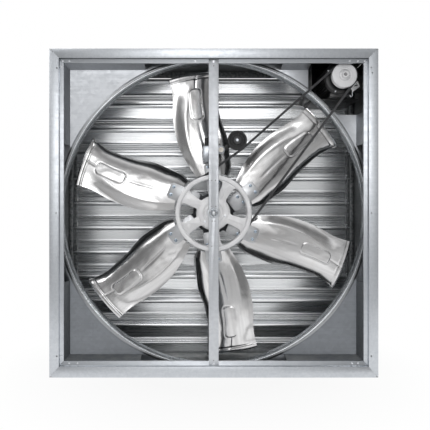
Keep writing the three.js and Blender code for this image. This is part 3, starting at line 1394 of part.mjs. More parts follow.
const pinHoles = (left, right, forward, rise) => Array.from({ length: LEAF_COUNT }, (_, k) => (
  new THREE.CylinderGeometry(PIN_RADIUS + PIN_CLEARANCE, PIN_RADIUS + PIN_CLEARANCE, right - left, PIN_STEPS)
    .rotateZ(Math.PI / 2)
    .translate((left + right) / 2, leafPivotDepth - forward, leafPivotZ(k) + rise)
));

const louvreFrame = (name, side) => {
  const web = side * frameWebX;
  const wall = side * (wallInner - GAP);
  const inside = web + side * FRAME_SHEET;
  const front = leafPivotDepth - FRAME_DEPTH / 2;
  const back = leafPivotDepth + FRAME_DEPTH / 2;
  const section = toShape([
    [web, front],
    [wall, front],
    [wall, front + FRAME_SHEET],
    [inside, front + FRAME_SHEET],
    [inside, back - FRAME_SHEET],
    [wall, back - FRAME_SHEET],
    [wall, back],
    [web, back],
  ]);
  const channel = barAlongZ(section, -plateWall, plateWall);
  const holes = pinHoles(Math.min(web, inside) - OVERRUN, Math.max(web, inside) + OVERRUN, 0, 0);
  return part(name, cut(channel, ...holes), galvanised);
};

const linkRod = () => {
  const middle = leafPivotDepth - leverForward;
  const bar = block(
    [rodLeft, rodLeft + ROD_THICKNESS],
    [middle - ROD_WIDTH / 2, middle + ROD_WIDTH / 2],
    [leafPivotZ(LEAF_COUNT - 1) + leverRise - ROD_END, leafPivotZ(0) + leverRise + ROD_END],
  );
  const holes = pinHoles(rodLeft - OVERRUN, rodLeft + ROD_THICKNESS + OVERRUN, leverForward, leverRise);
  return part('link_rod', cut(bar, ...holes), galvanised);
};

const headRail = () => {
  const front = leafPivotDepth - LEAF_CURL_RADIUS / 2;
  const low = firstPivotZ + LEAF_CURL_RADIUS + LEAF_SHEET + RAIL_CLEARANCE;
  const half = frameWebX - GAP;
  const section = toShape([
    [front, low],
    [front + FRAME_SHEET, low],
    [front + FRAME_SHEET, plateWall - FRAME_SHEET],
    [front + RAIL_DEPTH, plateWall - FRAME_SHEET],
    [front + RAIL_DEPTH, plateWall],
    [front, plateWall],
  ]);
  return part('shutter_head_rail', barAlongX(section, -half, half), galvanised);
};

const louvres = () => {
  const group = new THREE.Group();
  const shape = leafShape();
  for (let k = 0; k < LEAF_COUNT; k += 1) {
    const mesh = part(`shutter_${String(k + 1).padStart(2, '0')}`, shape, louvreSheet);
    mesh.position.set(0, leafPivotDepth, leafPivotZ(k));
    group.add(mesh);
  }
  group.add(louvreFrame('shutter_frame_left', -1), louvreFrame('shutter_frame_right', 1));
  group.add(headRail(), linkRod());
  return group;
};

const bearings = () => {
  const frontBearing = rimFront + BEARING_RECESS;
  const rearBearing = seatDepth - GAP + HUB_TAIL_LENGTH - BEARING_RECESS - BEARING_WIDTH;
  return [bearing('bearing_front', frontBearing), bearing('bearing_rear', rearBearing)];
};

// The whole fan, stood on the ground with its middle over the origin
const fan = new THREE.Group();
fan.position.set(0, -casingDepth / 2, casingHalf);
fan.add(casing(), frontBar(), rearBar(), inlet(), rotor(), vBelt(), motor(), tensioner(), louvres());
fan.add(axle(), ...bearings());
fan.add(axleNut('axle_nut_front', barWebFront - GAP, -1));
fan.add(axleNut('axle_nut_rear', rearBarBack + GAP, 1));

export default fan;
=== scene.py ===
import json
import math

import bmesh
import bpy
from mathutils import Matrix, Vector, noise
from mathutils.geometry import tessellate_polygon

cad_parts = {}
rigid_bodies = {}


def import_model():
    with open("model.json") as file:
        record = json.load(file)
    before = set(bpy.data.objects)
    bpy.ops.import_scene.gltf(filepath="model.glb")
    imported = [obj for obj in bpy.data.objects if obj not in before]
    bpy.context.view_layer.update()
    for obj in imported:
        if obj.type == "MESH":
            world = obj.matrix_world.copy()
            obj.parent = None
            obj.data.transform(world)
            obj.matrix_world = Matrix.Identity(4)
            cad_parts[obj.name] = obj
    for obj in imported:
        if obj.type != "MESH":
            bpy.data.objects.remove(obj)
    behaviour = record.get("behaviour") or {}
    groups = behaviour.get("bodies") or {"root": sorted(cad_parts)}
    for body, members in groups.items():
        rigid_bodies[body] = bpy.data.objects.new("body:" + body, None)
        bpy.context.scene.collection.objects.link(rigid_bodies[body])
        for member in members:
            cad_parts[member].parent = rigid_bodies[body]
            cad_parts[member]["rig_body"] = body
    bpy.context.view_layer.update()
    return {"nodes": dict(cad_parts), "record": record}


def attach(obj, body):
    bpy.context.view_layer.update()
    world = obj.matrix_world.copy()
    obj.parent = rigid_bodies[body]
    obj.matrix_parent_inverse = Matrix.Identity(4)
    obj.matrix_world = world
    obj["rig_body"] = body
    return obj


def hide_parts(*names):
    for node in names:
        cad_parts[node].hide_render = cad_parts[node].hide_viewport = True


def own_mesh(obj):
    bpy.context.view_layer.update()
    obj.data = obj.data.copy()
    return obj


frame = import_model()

# Sizes in millimetres. x runs right, depth runs behind the front face and z is the height over the axis.
BOX_DEPTH = 400
BOX_HALF = 690
BOX_INSIDE_START = 26
TOP_STEP_DEPTHS = (1.5, 17)
TOP_STEP_HEIGHT = 655
PAN_WALL_DEPTHS = (31, 88.4)
WELD_STAND = 0.35
LIP_FACE = 18
BAR_FACE = 14.7
BAR_SWELL = 1.075
ROTOR_RADIUS = 635
FIRST_BLADE_DEGREES = 38
BRACKET_FACE = 96.3
BELT_PLANE = 52
SEAT_DEPTH = 100
MOTOR_MIDDLE = (560, 589)
IDLER_MIDDLE = (101.93, 311.48)
ARM_PIVOT = (32.25, 269.61)
SPRING_X = -29.75
SPRING_FOOT = 220.61
SPRING_TOP = 264.61
RING_SHEET = 1.4
LOUVRE_SHEET = 1.2
LEAF_HALF = 655
LEAF_PITCH = 119
LEAF_DEPTH = 372
FIRST_LEAF_Z = 644
TURN = 2 * math.pi

slot_of_node = {entry["node"]: entry["material_slot"] for entry in frame["record"]["subparts"]}
body_of_node = {name: obj["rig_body"] for name, obj in frame["nodes"].items()}


def place(x, depth, z):
    """A point of the fan in the frame's metres."""
    return Vector((x / 1000, (depth - BOX_DEPTH / 2) / 1000, (z + BOX_HALF) / 1000))


# ---------------------------------------------------------------- marks that several finishes share

VECTOR_MATH = "ShaderNodeVectorMath"


def add(tree, kind, inputs=None, **settings):
    made = tree.nodes.new(kind)
    for key, value in settings.items():
        setattr(made, key, value)
    for key, value in (inputs or {}).items():
        if isinstance(value, bpy.types.NodeSocket):
            tree.links.new(value, made.inputs[key])
        else:
            made.inputs[key].default_value = value
    return made


def ranged(tree, value, low, high, start=0.0, end=1.0, **settings):
    """Spreads a value from one range over another."""
    limits = {"Value": value, "From Min": low, "From Max": high, "To Min": start, "To Max": end}
    return add(tree, "ShaderNodeMapRange", limits, **settings).outputs[0]


def combined(tree, operation, first, second, kind="ShaderNodeMath"):
    return add(tree, kind, {0: first, 1: second}, operation=operation).outputs[0]


def cloud(tree, where, scale, detail, **more):
    return add(tree, "ShaderNodeTexNoise", {"Vector": where, "Scale": scale, "Detail": detail, **more}).outputs


def split(tree, vector):
    return add(tree, "ShaderNodeSeparateXYZ", {0: vector}).outputs


def mark_group(name, lay, outputs, inputs):
    """A group of nodes that lay() puts down, and whose results it gives back in the order of the outputs."""
    tree = bpy.data.node_groups.new(name, "ShaderNodeTree")
    for label, value in {"Position": (0, 0, 0), **inputs}.items():
        kind = "NodeSocketVector" if isinstance(value, tuple) else "NodeSocketFloat"
        tree.interface.new_socket(label, in_out="INPUT", socket_type=kind).default_value = value
    for label in outputs:
        tree.interface.new_socket(label, in_out="OUTPUT", socket_type="NodeSocketFloat")
    given, out = add(tree, "NodeGroupInput").outputs, add(tree, "NodeGroupOutput").inputs
    for label, value in zip(outputs, lay(tree, given, given["Position"])):
        tree.links.new(value, out[label])
    return tree


def spangle_marks(tree, given, where):
    """Crystals of a hot-dip zinc coat: a tone for each crystal and a fine line between them."""
    centred = combined(tree, "SUBTRACT", cloud(tree, where, 40.0, 2.0)["Color"], (0.5, 0.5, 0.5), VECTOR_MATH)
    shift = add(tree, VECTOR_MATH, {0: centred, "Scale": given["Wander"]}, operation="SCALE").outputs[0]
    crystals = {"Vector": combined(tree, "ADD", where, shift, VECTOR_MATH), "Scale": given["Crystals per metre"]}
    cells = add(tree, "ShaderNodeTexVoronoi", crystals).outputs["Color"]
    seams = add(tree, "ShaderNodeTexVoronoi", crystals, feature="DISTANCE_TO_EDGE").outputs["Distance"]
    return add(tree, "ShaderNodeSeparateColor", {0: cells}).outputs[0], ranged(tree, seams, 0.0, 0.08, 1.0, 0.0)


def streak_marks(tree, given, where):
    """Long fine lines that rolling, drawing or grinding leaves, along the direction that Stretch is small in. On the
    blades it also lays broad dark bands of painted reflection.
    """
    drawn = combined(tree, "MULTIPLY", where, given["Stretch"], VECTOR_MATH)
    coarse = cloud(tree, drawn, 1.0, given["Detail"], Roughness=0.65)[0]
    return ranged(tree, coarse, 0.3, 0.7), cloud(tree, drawn, 6.0, given["Detail"], Roughness=0.7)[0]


def handling_marks(tree, given, where):
    """Soft blotches from hands, oil and wiping."""
    patchy = cloud(tree, where, given["Blotches per metre"], 5.0, Roughness=0.6, Distortion=0.6)[0]
    full = combined(tree, "ADD", given["Threshold"], 0.22)
    return [ranged(tree, patchy, given["Threshold"], full, interpolation_type="SMOOTHSTEP")]


def dust_marks(tree, given, where):
    """Pale dust that has settled on faces that look up, thicker in patches."""
    upward = ranged(tree, split(tree, add(tree, "ShaderNodeNewGeometry").outputs["Normal"])["Z"], 0.35, 1.0)
    patches = ranged(tree, cloud(tree, where, given["Patches per metre"], 6.0)[0], 0.35, 0.65)
    return [combined(tree, "MULTIPLY", upward, patches)]


def edge_marks(tree, given, where):
    """Corners that wear has rubbed bright, broken up along their length."""
    ridge = ranged(tree, add(tree, "ShaderNodeNewGeometry").outputs["Pointiness"], 0.53, 0.62)
    broken = ranged(tree, cloud(tree, where, given["Breaks per metre"], 4.0)[0], 0.4, 0.6)
    return [combined(tree, "MULTIPLY", ridge, broken)]


def grain_marks(tree, given, where):
    """Fine even grain of a cast, moulded or painted skin."""
    broad = ranged(tree, cloud(tree, where, 22.0, 4.0)[0], 0.35, 0.65)
    return broad, cloud(tree, where, given["Grains per metre"], 3.0)[0]


SPANGLE = mark_group("zinc_spangle", spangle_marks, ("Tone", "Line"), {"Crystals per metre": 60.0, "Wander": 0.02})
STREAKS = mark_group("rolling_streaks_and_painted_reflection_bands", streak_marks, ("Streak", "Height"), {"Stretch": (1, 1, 1), "Detail": 3.0})
HANDLING = mark_group("handling_marks", handling_marks, ("Blotch",), {"Blotches per metre": 6.0, "Threshold": 0.48})
DUST = mark_group("settled_dust", dust_marks, ("Dust",), {"Patches per metre": 25.0})
EDGES = mark_group("rubbed_edges", edge_marks, ("Rubbed",), {"Breaks per metre": 90.0})
GRAIN = mark_group("skin_grain", grain_marks, ("Grain", "Height"), {"Grains per metre": 900.0})


# A mark is a group, the output that is used and the values of its inputs

def spangle(per_metre, wander, output="Tone"):
    return SPANGLE, output, {"Crystals per metre": per_metre, "Wander": wander}


def streaks(*stretch, output="Streak", detail=3.0):
    return STREAKS, output, {"Stretch": stretch, "Detail": detail}


def blotches(per_metre, threshold=0.48):
    return HANDLING, "Blotch", {"Blotches per metre": per_metre, "Threshold": threshold}


def dust(per_metre=25.0):
    return DUST, "Dust", {"Patches per metre": per_metre}


def rubbed(per_metre=90.0):
    return EDGES, "Rubbed", {"Breaks per metre": per_metre}


def grains(per_metre, output="Height"):
    return GRAIN, output, {"Grains per metre": per_metre}


# ---------------------------------------------------------------- finishes

# Map that lies along and across each blade, in metres, for marks that follow its length
BLADE_LENGTH_MAP = "blade_length"


def coated(name, colour, roughness, tints, roughs, heights, bump, distance=0.0002,
           metallic=1.0, coat=0.0, along=None):
    """A material laid on mark by mark. A tint is (mark, colour, amount), a rough or high place (mark, amount)."""
    material = bpy.data.materials.new(name)
    material.use_nodes = True
    tree = material.node_tree
    shader = tree.nodes["Principled BSDF"].inputs
    shader["Metallic"].default_value = metallic
    shader["Coat Weight"].default_value = coat
    if along:
        where = add(tree, "ShaderNodeUVMap", uv_map=along).outputs[0]
    else:
        where = add(tree, "ShaderNodeTexCoord").outputs["Object"]
    laid = {}

    def strength(mark, amount):
        group, output, values = mark
        key = (group.name, repr(values))
        if key not in laid:
            laid[key] = add(tree, "ShaderNodeGroup", {"Position": where, **values}, node_tree=group)
        return combined(tree, "MULTIPLY", laid[key].outputs[output], amount)

    colour = (*colour, 1)
    for mark, tone, amount in tints:
        layers = {"Factor": strength(mark, amount), "A": colour, "B": (*tone, 1)}
        colour = add(tree, "ShaderNodeMix", layers, data_type="RGBA").outputs["Result"]
    for mark, amount in roughs:
        roughness = combined(tree, "ADD", strength(mark, amount), roughness)
    height = strength(*heights[0])
    for mark, amount in heights[1:]:
        height = combined(tree, "ADD", height, strength(mark, amount))
    relief = add(tree, "ShaderNodeBump", {"Strength": bump, "Distance": distance, "Height": height}).outputs[0]
    for label, value in (("Base Color", colour), ("Roughness", roughness), ("Normal", relief)):
        tree.links.new(value, shader[label])
    return material


def galvanised(name, colour, shade, roughness):
    """Hot-dip galvanised sheet, with faint lines from its rolling."""
    crystals, lines = (75.0, 0.012), (3, 3, 160)
    tone, streak = spangle(*crystals), streaks(*lines)
    return coated("galvanised_" + name, colour, roughness, [
        (tone, shade, 0.3), (streak, shade, 0.25), (blotches(5.0), shade, 0.3),
        (rubbed(), (0.86, 0.88, 0.9), 0.5), (dust(), (0.60, 0.59, 0.56), 0.25),
    ], [(tone, 0.06), (streak, 0.07)], [
        (streaks(*lines, output="Height"), 1.0), (spangle(*crystals, "Line"), 0.25),
    ], 0.05)


def spun_metal(name, colour, shade, roughness):
    """Sheet that was spun or rolled, so its marks run round and stay faint."""
    return coated(name, colour, roughness, [
        (spangle(60.0, 0.02), shade, 0.25), (blotches(7.0), shade, 0.45),
    ], [(blotches(11.0), 0.08)], [(grains(260.0), 1.0)], 0.03)


# Broad dark bands along each blade are painted reflection of polished steel, not marks in the metal
BLADE_PAINTED_REFLECTION_BANDS = streaks(1.4, 19, 1, detail=2.0)
BLADE_LINES = streaks(4, 130, 1)
LOUVRE_LINES = streaks(1.5, 140, 140)
finish_of_slot = {
    "galvanised_sheet": galvanised("sheet", (0.62, 0.645, 0.68), (0.48, 0.51, 0.545), 0.27),
    "bright_zinc": coated("bright_zinc_plate", (0.78, 0.80, 0.83), 0.26, [
        (streaks(160, 160, 3), (0.60, 0.62, 0.66), 0.4), (blotches(12.0), (0.62, 0.62, 0.62), 0.3),
        (rubbed(), (0.9, 0.91, 0.93), 0.5),
    ], [(streaks(160, 160, 3), 0.1)], [(streaks(300, 300, 5, output="Height"), 1.0)], 0.08),
    "polished_stainless": coated("blade_polished_stainless", (0.90, 0.898, 0.90), 0.12, [
        (BLADE_PAINTED_REFLECTION_BANDS, (0.34, 0.335, 0.34), 0.72), (BLADE_LINES, (0.62, 0.62, 0.625), 0.4),
        (blotches(9.0), (0.62, 0.60, 0.585), 0.3),
    ], [(BLADE_LINES, 0.07), (BLADE_PAINTED_REFLECTION_BANDS, 0.06)], [(streaks(10, 190, 1, output="Height"), 1.0)], 0.06,
        along=BLADE_LENGTH_MAP),
    "louvre_sheet": coated("louvre_bright_zinc", (0.96, 0.97, 0.98), 0.24, [
        (LOUVRE_LINES, (0.70, 0.73, 0.77), 0.3), (blotches(4.0), (0.66, 0.69, 0.73), 0.22),
        (spangle(110.0, 0.01), (0.78, 0.81, 0.84), 0.15), (dust(), (0.6, 0.59, 0.56), 0.2),
    ], [(LOUVRE_LINES, 0.08)], [(streaks(2, 260, 260, output="Height"), 1.0)], 0.10),
    "cast_aluminium": coated("cast_aluminium_skin", (0.86, 0.86, 0.87), 0.46, [
        (grains(700.0, "Grain"), (0.74, 0.74, 0.755), 0.4), (blotches(18.0), (0.62, 0.62, 0.63), 0.2),
        (rubbed(60.0), (0.88, 0.88, 0.89), 0.6),
    ], [(grains(700.0, "Grain"), 0.1)], [(grains(700.0), 1.0)], 0.35, 0.0004, metallic=0.6),
    "dark_steel": coated("oiled_steel", (0.30, 0.30, 0.31), 0.30, [
        (blotches(40.0), (0.12, 0.11, 0.10), 0.6), (rubbed(), (0.6, 0.6, 0.6), 0.6),
    ], [(blotches(40.0), 0.18)], [(grains(1400.0), 1.0)], 0.15),
    "black_paint": coated("black_enamel", (0.012, 0.012, 0.013), 0.34, [
        (blotches(22.0), (0.03, 0.03, 0.031), 0.6), (dust(40.0), (0.16, 0.15, 0.14), 0.35),
        (rubbed(), (0.12, 0.12, 0.12), 0.5),
    ], [(blotches(22.0), 0.12)], [(grains(420.0), 1.0)], 0.18, 0.0003, metallic=0.0, coat=0.25),
    "black_plastic": coated("black_moulded_plastic", (0.022, 0.022, 0.024), 0.5, [
        (grains(1600.0, "Grain"), (0.04, 0.04, 0.042), 0.6), (rubbed(), (0.12, 0.12, 0.12), 0.6),
        (dust(60.0), (0.2, 0.19, 0.18), 0.3),
    ], [(grains(1600.0, "Grain"), 0.14)], [(grains(1600.0), 1.0)], 0.3, 0.0003, metallic=0.0),
    "belt_rubber": coated("belt_rubber_cover", (0.040, 0.041, 0.044), 0.55, [
        (blotches(70.0, 0.42), (0.085, 0.085, 0.088), 0.7), (rubbed(), (0.16, 0.16, 0.16), 0.5),
    ], [(blotches(70.0, 0.42), 0.2)], [(grains(1100.0), 1.0)], 0.4, 0.0004, metallic=0.0),
}
lower_plate_painted_shade_galvanised = galvanised("lower_plate_painted_shade", (0.235, 0.25, 0.27), (0.18, 0.19, 0.205), 0.36)
recess_painted_shade_galvanised = galvanised("recess_painted_shade", (0.32, 0.335, 0.35), (0.21, 0.22, 0.235), 0.40)
plate_galvanised = galvanised("corner_plate", (0.52, 0.535, 0.56), (0.42, 0.44, 0.465), 0.30)
bar_galvanised = galvanised("bar", (0.64, 0.66, 0.69), (0.54, 0.56, 0.59), 0.38)
pan_wall_painted_shade_galvanised = galvanised("pan_wall_painted_shade", (0.50, 0.515, 0.54), (0.38, 0.395, 0.42), 0.36)
grey_galvanised = galvanised("grey_bracket", (0.60, 0.61, 0.625), (0.48, 0.49, 0.51), 0.30)
inside_painted_shade_galvanised = galvanised("inside", (0.20, 0.21, 0.215), (0.13, 0.14, 0.145), 0.45)
ring_bright = spun_metal("ring_rolled_mouth", (0.76, 0.785, 0.81), (0.52, 0.55, 0.585), 0.24)
ring_lip_painted_shade = spun_metal("ring_flat_lip", (0.40, 0.41, 0.425), (0.24, 0.25, 0.265), 0.30)
ring_throat_painted_shade = spun_metal("ring_throat", (0.42, 0.445, 0.465), (0.26, 0.28, 0.30), 0.26)
nut_grey_zinc = spun_metal("nut_grey_zinc", (0.44, 0.46, 0.49), (0.25, 0.27, 0.30), 0.22)
star_plate_painted_shade = spun_metal("star_plate_painted_shade", (0.040, 0.042, 0.045), (0.018, 0.018, 0.02), 0.4)
boss_beige = spun_metal("boss_machined_face", (0.54, 0.51, 0.47), (0.42, 0.40, 0.37), 0.36)
rivet_blue_zinc = spun_metal("rivet_blue_zinc", (0.52, 0.60, 0.68), (0.25, 0.29, 0.34), 0.16)


# ---------------------------------------------------------------- shells: (points, faces) in millimetres

def together(*shells):
    points = []
    faces = []
    for own_points, own_faces in shells:
        start = len(points)
        points.extend(own_points)
        faces.extend(tuple(corner + start for corner in face) for face in own_faces)
    return points, faces


def moved(shell, x=0.0, depth=0.0, z=0.0):
    return [(px + x, pd + depth, pz + z) for px, pd, pz in shell[0]], shell[1]


def turned(shell, angle, middle=(0, 0)):
    """Turned about a line in depth, from right towards up."""
    across, up = middle
    cos, sin = math.cos(angle), math.sin(angle)
    points = [(across + (x - across) * cos - (z - up) * sin, depth, up + (x - across) * sin + (z - up) * cos)
              for x, depth, z in shell[0]]
    return points, shell[1]


def rounded(points, radius, steps=3):
    """A line of points with its corners rounded. radius may be one value or one for each point."""
    count = len(points)
    radii = radius if isinstance(radius, (list, tuple)) else [radius] * count
    result = []
    for i, (a, b) in enumerate(points):
        if radii[i] <= 0:
            result.append((a, b))
            continue
        before, after = points[i - 1], points[(i + 1) % count]
        gap_in = math.hypot(a - before[0], b - before[1])
        gap_out = math.hypot(after[0] - a, after[1] - b)
        reach = min(radii[i], gap_in * (0.45 if radii[i - 1] > 0 else 0.9),
                    gap_out * (0.45 if radii[(i + 1) % count] > 0 else 0.9))
        start = (a + (before[0] - a) * reach / gap_in, b + (before[1] - b) * reach / gap_in)
        end = (a + (after[0] - a) * reach / gap_out, b + (after[1] - b) * reach / gap_out)
        for k in range(steps + 1):
            t = k / steps
            result.append((
                (1 - t) ** 2 * start[0] + 2 * t * (1 - t) * a + t * t * end[0],
                (1 - t) ** 2 * start[1] + 2 * t * (1 - t) * b + t * t * end[1],
            ))
    return result


def arc(radius, start, end, steps, middle=(0, 0)):
    return [(middle[0] + radius * math.cos(start + (end - start) * k / steps),
             middle[1] + radius * math.sin(start + (end - start) * k / steps)) for k in range(steps + 1)]


def circle(radius, steps, middle=(0, 0)):
    return arc(radius, 0, TURN, steps, middle)[:-1]


def lathe(profile, steps=64, middle=(0, 0)):
    """Turned about a line in depth from a closed profile of (radius, depth)."""
    points = []
    rows = []
    for radius, depth in profile:
        first = len(points)
        if radius < 0.001:
            points.append((middle[0], depth, middle[1]))
            rows.append([first])
            continue
        for k in range(steps):
            angle = TURN * k / steps
            points.append((middle[0] + radius * math.cos(angle), depth, middle[1] + radius * math.sin(angle)))
        rows.append(range(first, first + steps))
    faces = []
    for row, following in zip(rows, rows[1:] + rows[:1]):
        if len(row) == 1 and len(following) == 1:
            continue
        for k in range(steps):
            n = (k + 1) % steps
            if len(row) == 1:
                faces.append((row[0], following[k], following[n]))
            elif len(following) == 1:
                faces.append((row[k], following[0], row[n]))
            else:
                faces.append((row[k], following[k], following[n], row[n]))
    return points, faces


def run(section, stations, lay, closed=False):
    """A bar with one closed section, laid through its stations. A closed run joins its end to its start."""
    count, last = len(section), len(stations) - 1
    points = [lay(a, b, station) for station in stations for a, b in section]
    faces = []
    for i in range(last + 1 if closed else last):
        low, high = i * count, (i + 1) % (last + 1) * count
        for k in range(count):
            n = (k + 1) % count
            faces.append((low + k, low + n, high + n, high + k))
    if not closed:
        faces += [tuple(range(count)), tuple(range(last * count, (last + 1) * count))]
    return points, faces


def lay_along_x(depth, z, x):
    return x, depth, z


def slab(loops, front, back):
    """A flat plate with holes: the first loop is its outline."""
    flat = [Vector((x, z, 0)) for loop in loops for x, z in loop]
    triangles = tessellate_polygon([[Vector((x, z, 0)) for x, z in loop] for loop in loops])
    count = len(flat)
    points = [(p.x, front, p.y) for p in flat] + [(p.x, back, p.y) for p in flat]
    faces = [tuple(tri) for tri in triangles] + [tuple(k + count for k in reversed(tri)) for tri in triangles]
    start = 0
    for loop in loops:
        size = len(loop)
        for k in range(size):
            a, b = start + k, start + (k + 1) % size
            faces.append((a, b, b + count, a + count))
        start += size
    return points, faces


def block(x, depth, z):
    return slab([[(x[0], z[0]), (x[1], z[0]), (x[1], z[1]), (x[0], z[1])]], depth[0], depth[1])


def wire(line, radius, sides=12):
    """A round wire through points of the fan."""
    path = [Vector(p) for p in line]
    side = Vector((0, 1, 0.01)).normalized()
    stations = []
    for i, point in enumerate(path):
        forward = (path[min(i + 1, len(path) - 1)] - path[max(i - 1, 0)]).normalized()
        side = (side - forward * side.dot(forward)).normalized()
        stations.append((point, side, forward.cross(side)))
    return run(circle(radius, sides), stations, lambda a, b, at: tuple(at[0] + at[1] * a + at[2] * b))


def thick_line(line, thickness):
    """A closed section that follows a line, thickened to its left, or to its right below zero."""
    far = []
    for i, (a, b) in enumerate(line):
        before, after = line[max(i - 1, 0)], line[min(i + 1, len(line) - 1)]
        da, db = after[0] - before[0], after[1] - before[1]
        length = math.hypot(da, db)
        far.append((a - db / length * thickness, b + da / length * thickness))
    return line + far[::-1]


def hex_head(x, z, seat, height, radius, turn=0.0):
    """A bolt's head with a pressed washer face, standing towards the front from its seat."""
    top = seat - height
    head = lathe([(0, top), (radius * 0.78, top), (radius * 0.97, top + height * 0.16), (radius, top + height * 0.3),
                  (radius, seat - height * 0.16), (0, seat - height * 0.16)], 6)
    flange = lathe(rounded([(0, seat), (radius * 1.25, seat), (radius * 1.25, seat - height * 0.16),
                            (0, seat - height * 0.18)], [0, 0, 0.3, 0]), 24)
    return moved(turned(together(head, flange), turn), x=x, z=z)


def rivet(x, z, seat, radius, height):
    profile = [(0, seat - height)]
    for t in range(1, 7):
        angle = t * math.pi / 12
        profile.append((radius * math.sin(angle), seat - height * math.cos(angle)))
    profile += [(radius, seat), (0, seat)]
    return moved(lathe(profile, 16), x=x, z=z)


# ---------------------------------------------------------------- pieces

def soften_mesh(mesh, edge, crease=35.0):
    """Joins a mesh's points, rounds its sharp edges by so many millimetres and shades it."""
    if edge > 0:
        # Flat faces stay flat up to the facets of their rounded edges
        crease = min(crease, 25.0)
    work = bmesh.new()
    work.from_mesh(mesh)
    bmesh.ops.remove_doubles(work, verts=work.verts, dist=0.000001)
    bmesh.ops.recalc_face_normals(work, faces=work.faces)
    if edge > 0:
        bmesh.ops.dissolve_limit(work, angle_limit=math.radians(0.6), verts=work.verts, edges=work.edges)
        sharp = [e for e in work.edges if e.is_manifold and e.calc_face_angle(0) > math.radians(30)]
        bmesh.ops.bevel(work, geom=sharp, offset=edge / 1000, segments=2, profile=0.5, affect="EDGES",
                        clamp_overlap=True)
    for face in work.faces:
        face.smooth = True
    for seam in work.edges:
        seam.smooth = seam.is_manifold and seam.calc_face_angle(0) < math.radians(crease)
    work.to_mesh(mesh)
    work.free()
    return mesh


def fit(name, mesh, node, replaces=False, finish=None, slot=None):
    """Puts a mesh on the body that carries a node, in that node's finish unless another is given."""
    piece = bpy.data.objects.new(name, mesh)
    bpy.context.scene.collection.objects.link(piece)
    slot = slot or slot_of_node[node]
    mesh.materials.clear()
    mesh.materials.append(finish or finish_of_slot[slot])
    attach(piece, body_of_node[node])
    if replaces:
        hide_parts(node)
    return piece


def make(name, shell, node, replaces=False, edge=0.0, crease=35.0, **looks):
    mesh = bpy.data.meshes.new(name)
    mesh.from_pydata([place(*point) for point in shell[0]], [], shell[1])
    return fit(name, soften_mesh(mesh, edge, crease), node, replaces, **looks)


def turn_out(name, node, profile, radii=0, steps=96, middle=(0, 0), replaces=False, corner_steps=3, **looks):
    """A piece turned from a profile of (radius, depth) whose corners are rounded."""
    return make(name, lathe(rounded(profile, radii, corner_steps), steps, middle), node, replaces, **looks)


def dress(node, edge=0.5, finish=None, inner=None, is_inner=None):
    """The node's own shape with its folded and cut edges rounded. Faces that is_inner picks get the inner finish."""
    mesh = soften_mesh(frame["nodes"][node].data.copy(), edge)
    piece = fit("dressed_" + node, mesh, node, True, finish)
    if inner:
        mesh.materials.append(inner)
        for face in mesh.polygons:
            face.material_index = int(is_inner(face.center, face.normal))
    return piece


def at_depth(point):
    """How far a point of the frame lies behind the fan's front, in millimetres."""
    return point.y * 1000 + BOX_DEPTH / 2


# ---------------------------------------------------------------- casing, corner plates and bars

def screw_row(name, spots, node, seat, radius=4.2):
    shells = [hex_head(x, z, seat, 3.2, radius, turn=0.37 * k) for k, (x, z) in enumerate(spots)]
    return make(name, together(*shells), node, slot="bright_zinc", crease=25)


def punched_holes(name, spots, node, face, radius=2.6):
    """Punched holes: a shallow cup let into the face, with a burr round it, dark for the painted shade inside each
    hole.
    """
    shells = []
    for x, z in spots:
        cup = [(0, face - 0.05), (radius, face - 0.05), (radius * 1.15, face - 0.25), (radius * 1.3, face - 0.05),
               (radius * 1.3, face + 0.1), (0, face + 0.1)]
        shells.append(moved(lathe(cup, 16), x=x, z=z))
    return make(name, together(*shells), node, slot="dark_steel", crease=25)


# Faces inside the box take a dark copy of the sheet: painted shade
def is_inside_box(centre, normal):
    reach = max(abs(centre.x), abs(centre.z - BOX_HALF / 1000)) * 1000
    return at_depth(centre) > BOX_INSIDE_START and reach < BOX_HALF - 0.9


# The step under the top lip takes it too: painted shade under the lip
def is_top_step(centre, normal):
    start, end = TOP_STEP_DEPTHS
    is_step = start < at_depth(centre) < end and (centre.z - BOX_HALF / 1000) * 1000 < TOP_STEP_HEIGHT
    return is_inside_box(centre, normal) or (is_step and abs(normal.y) < 0.5)


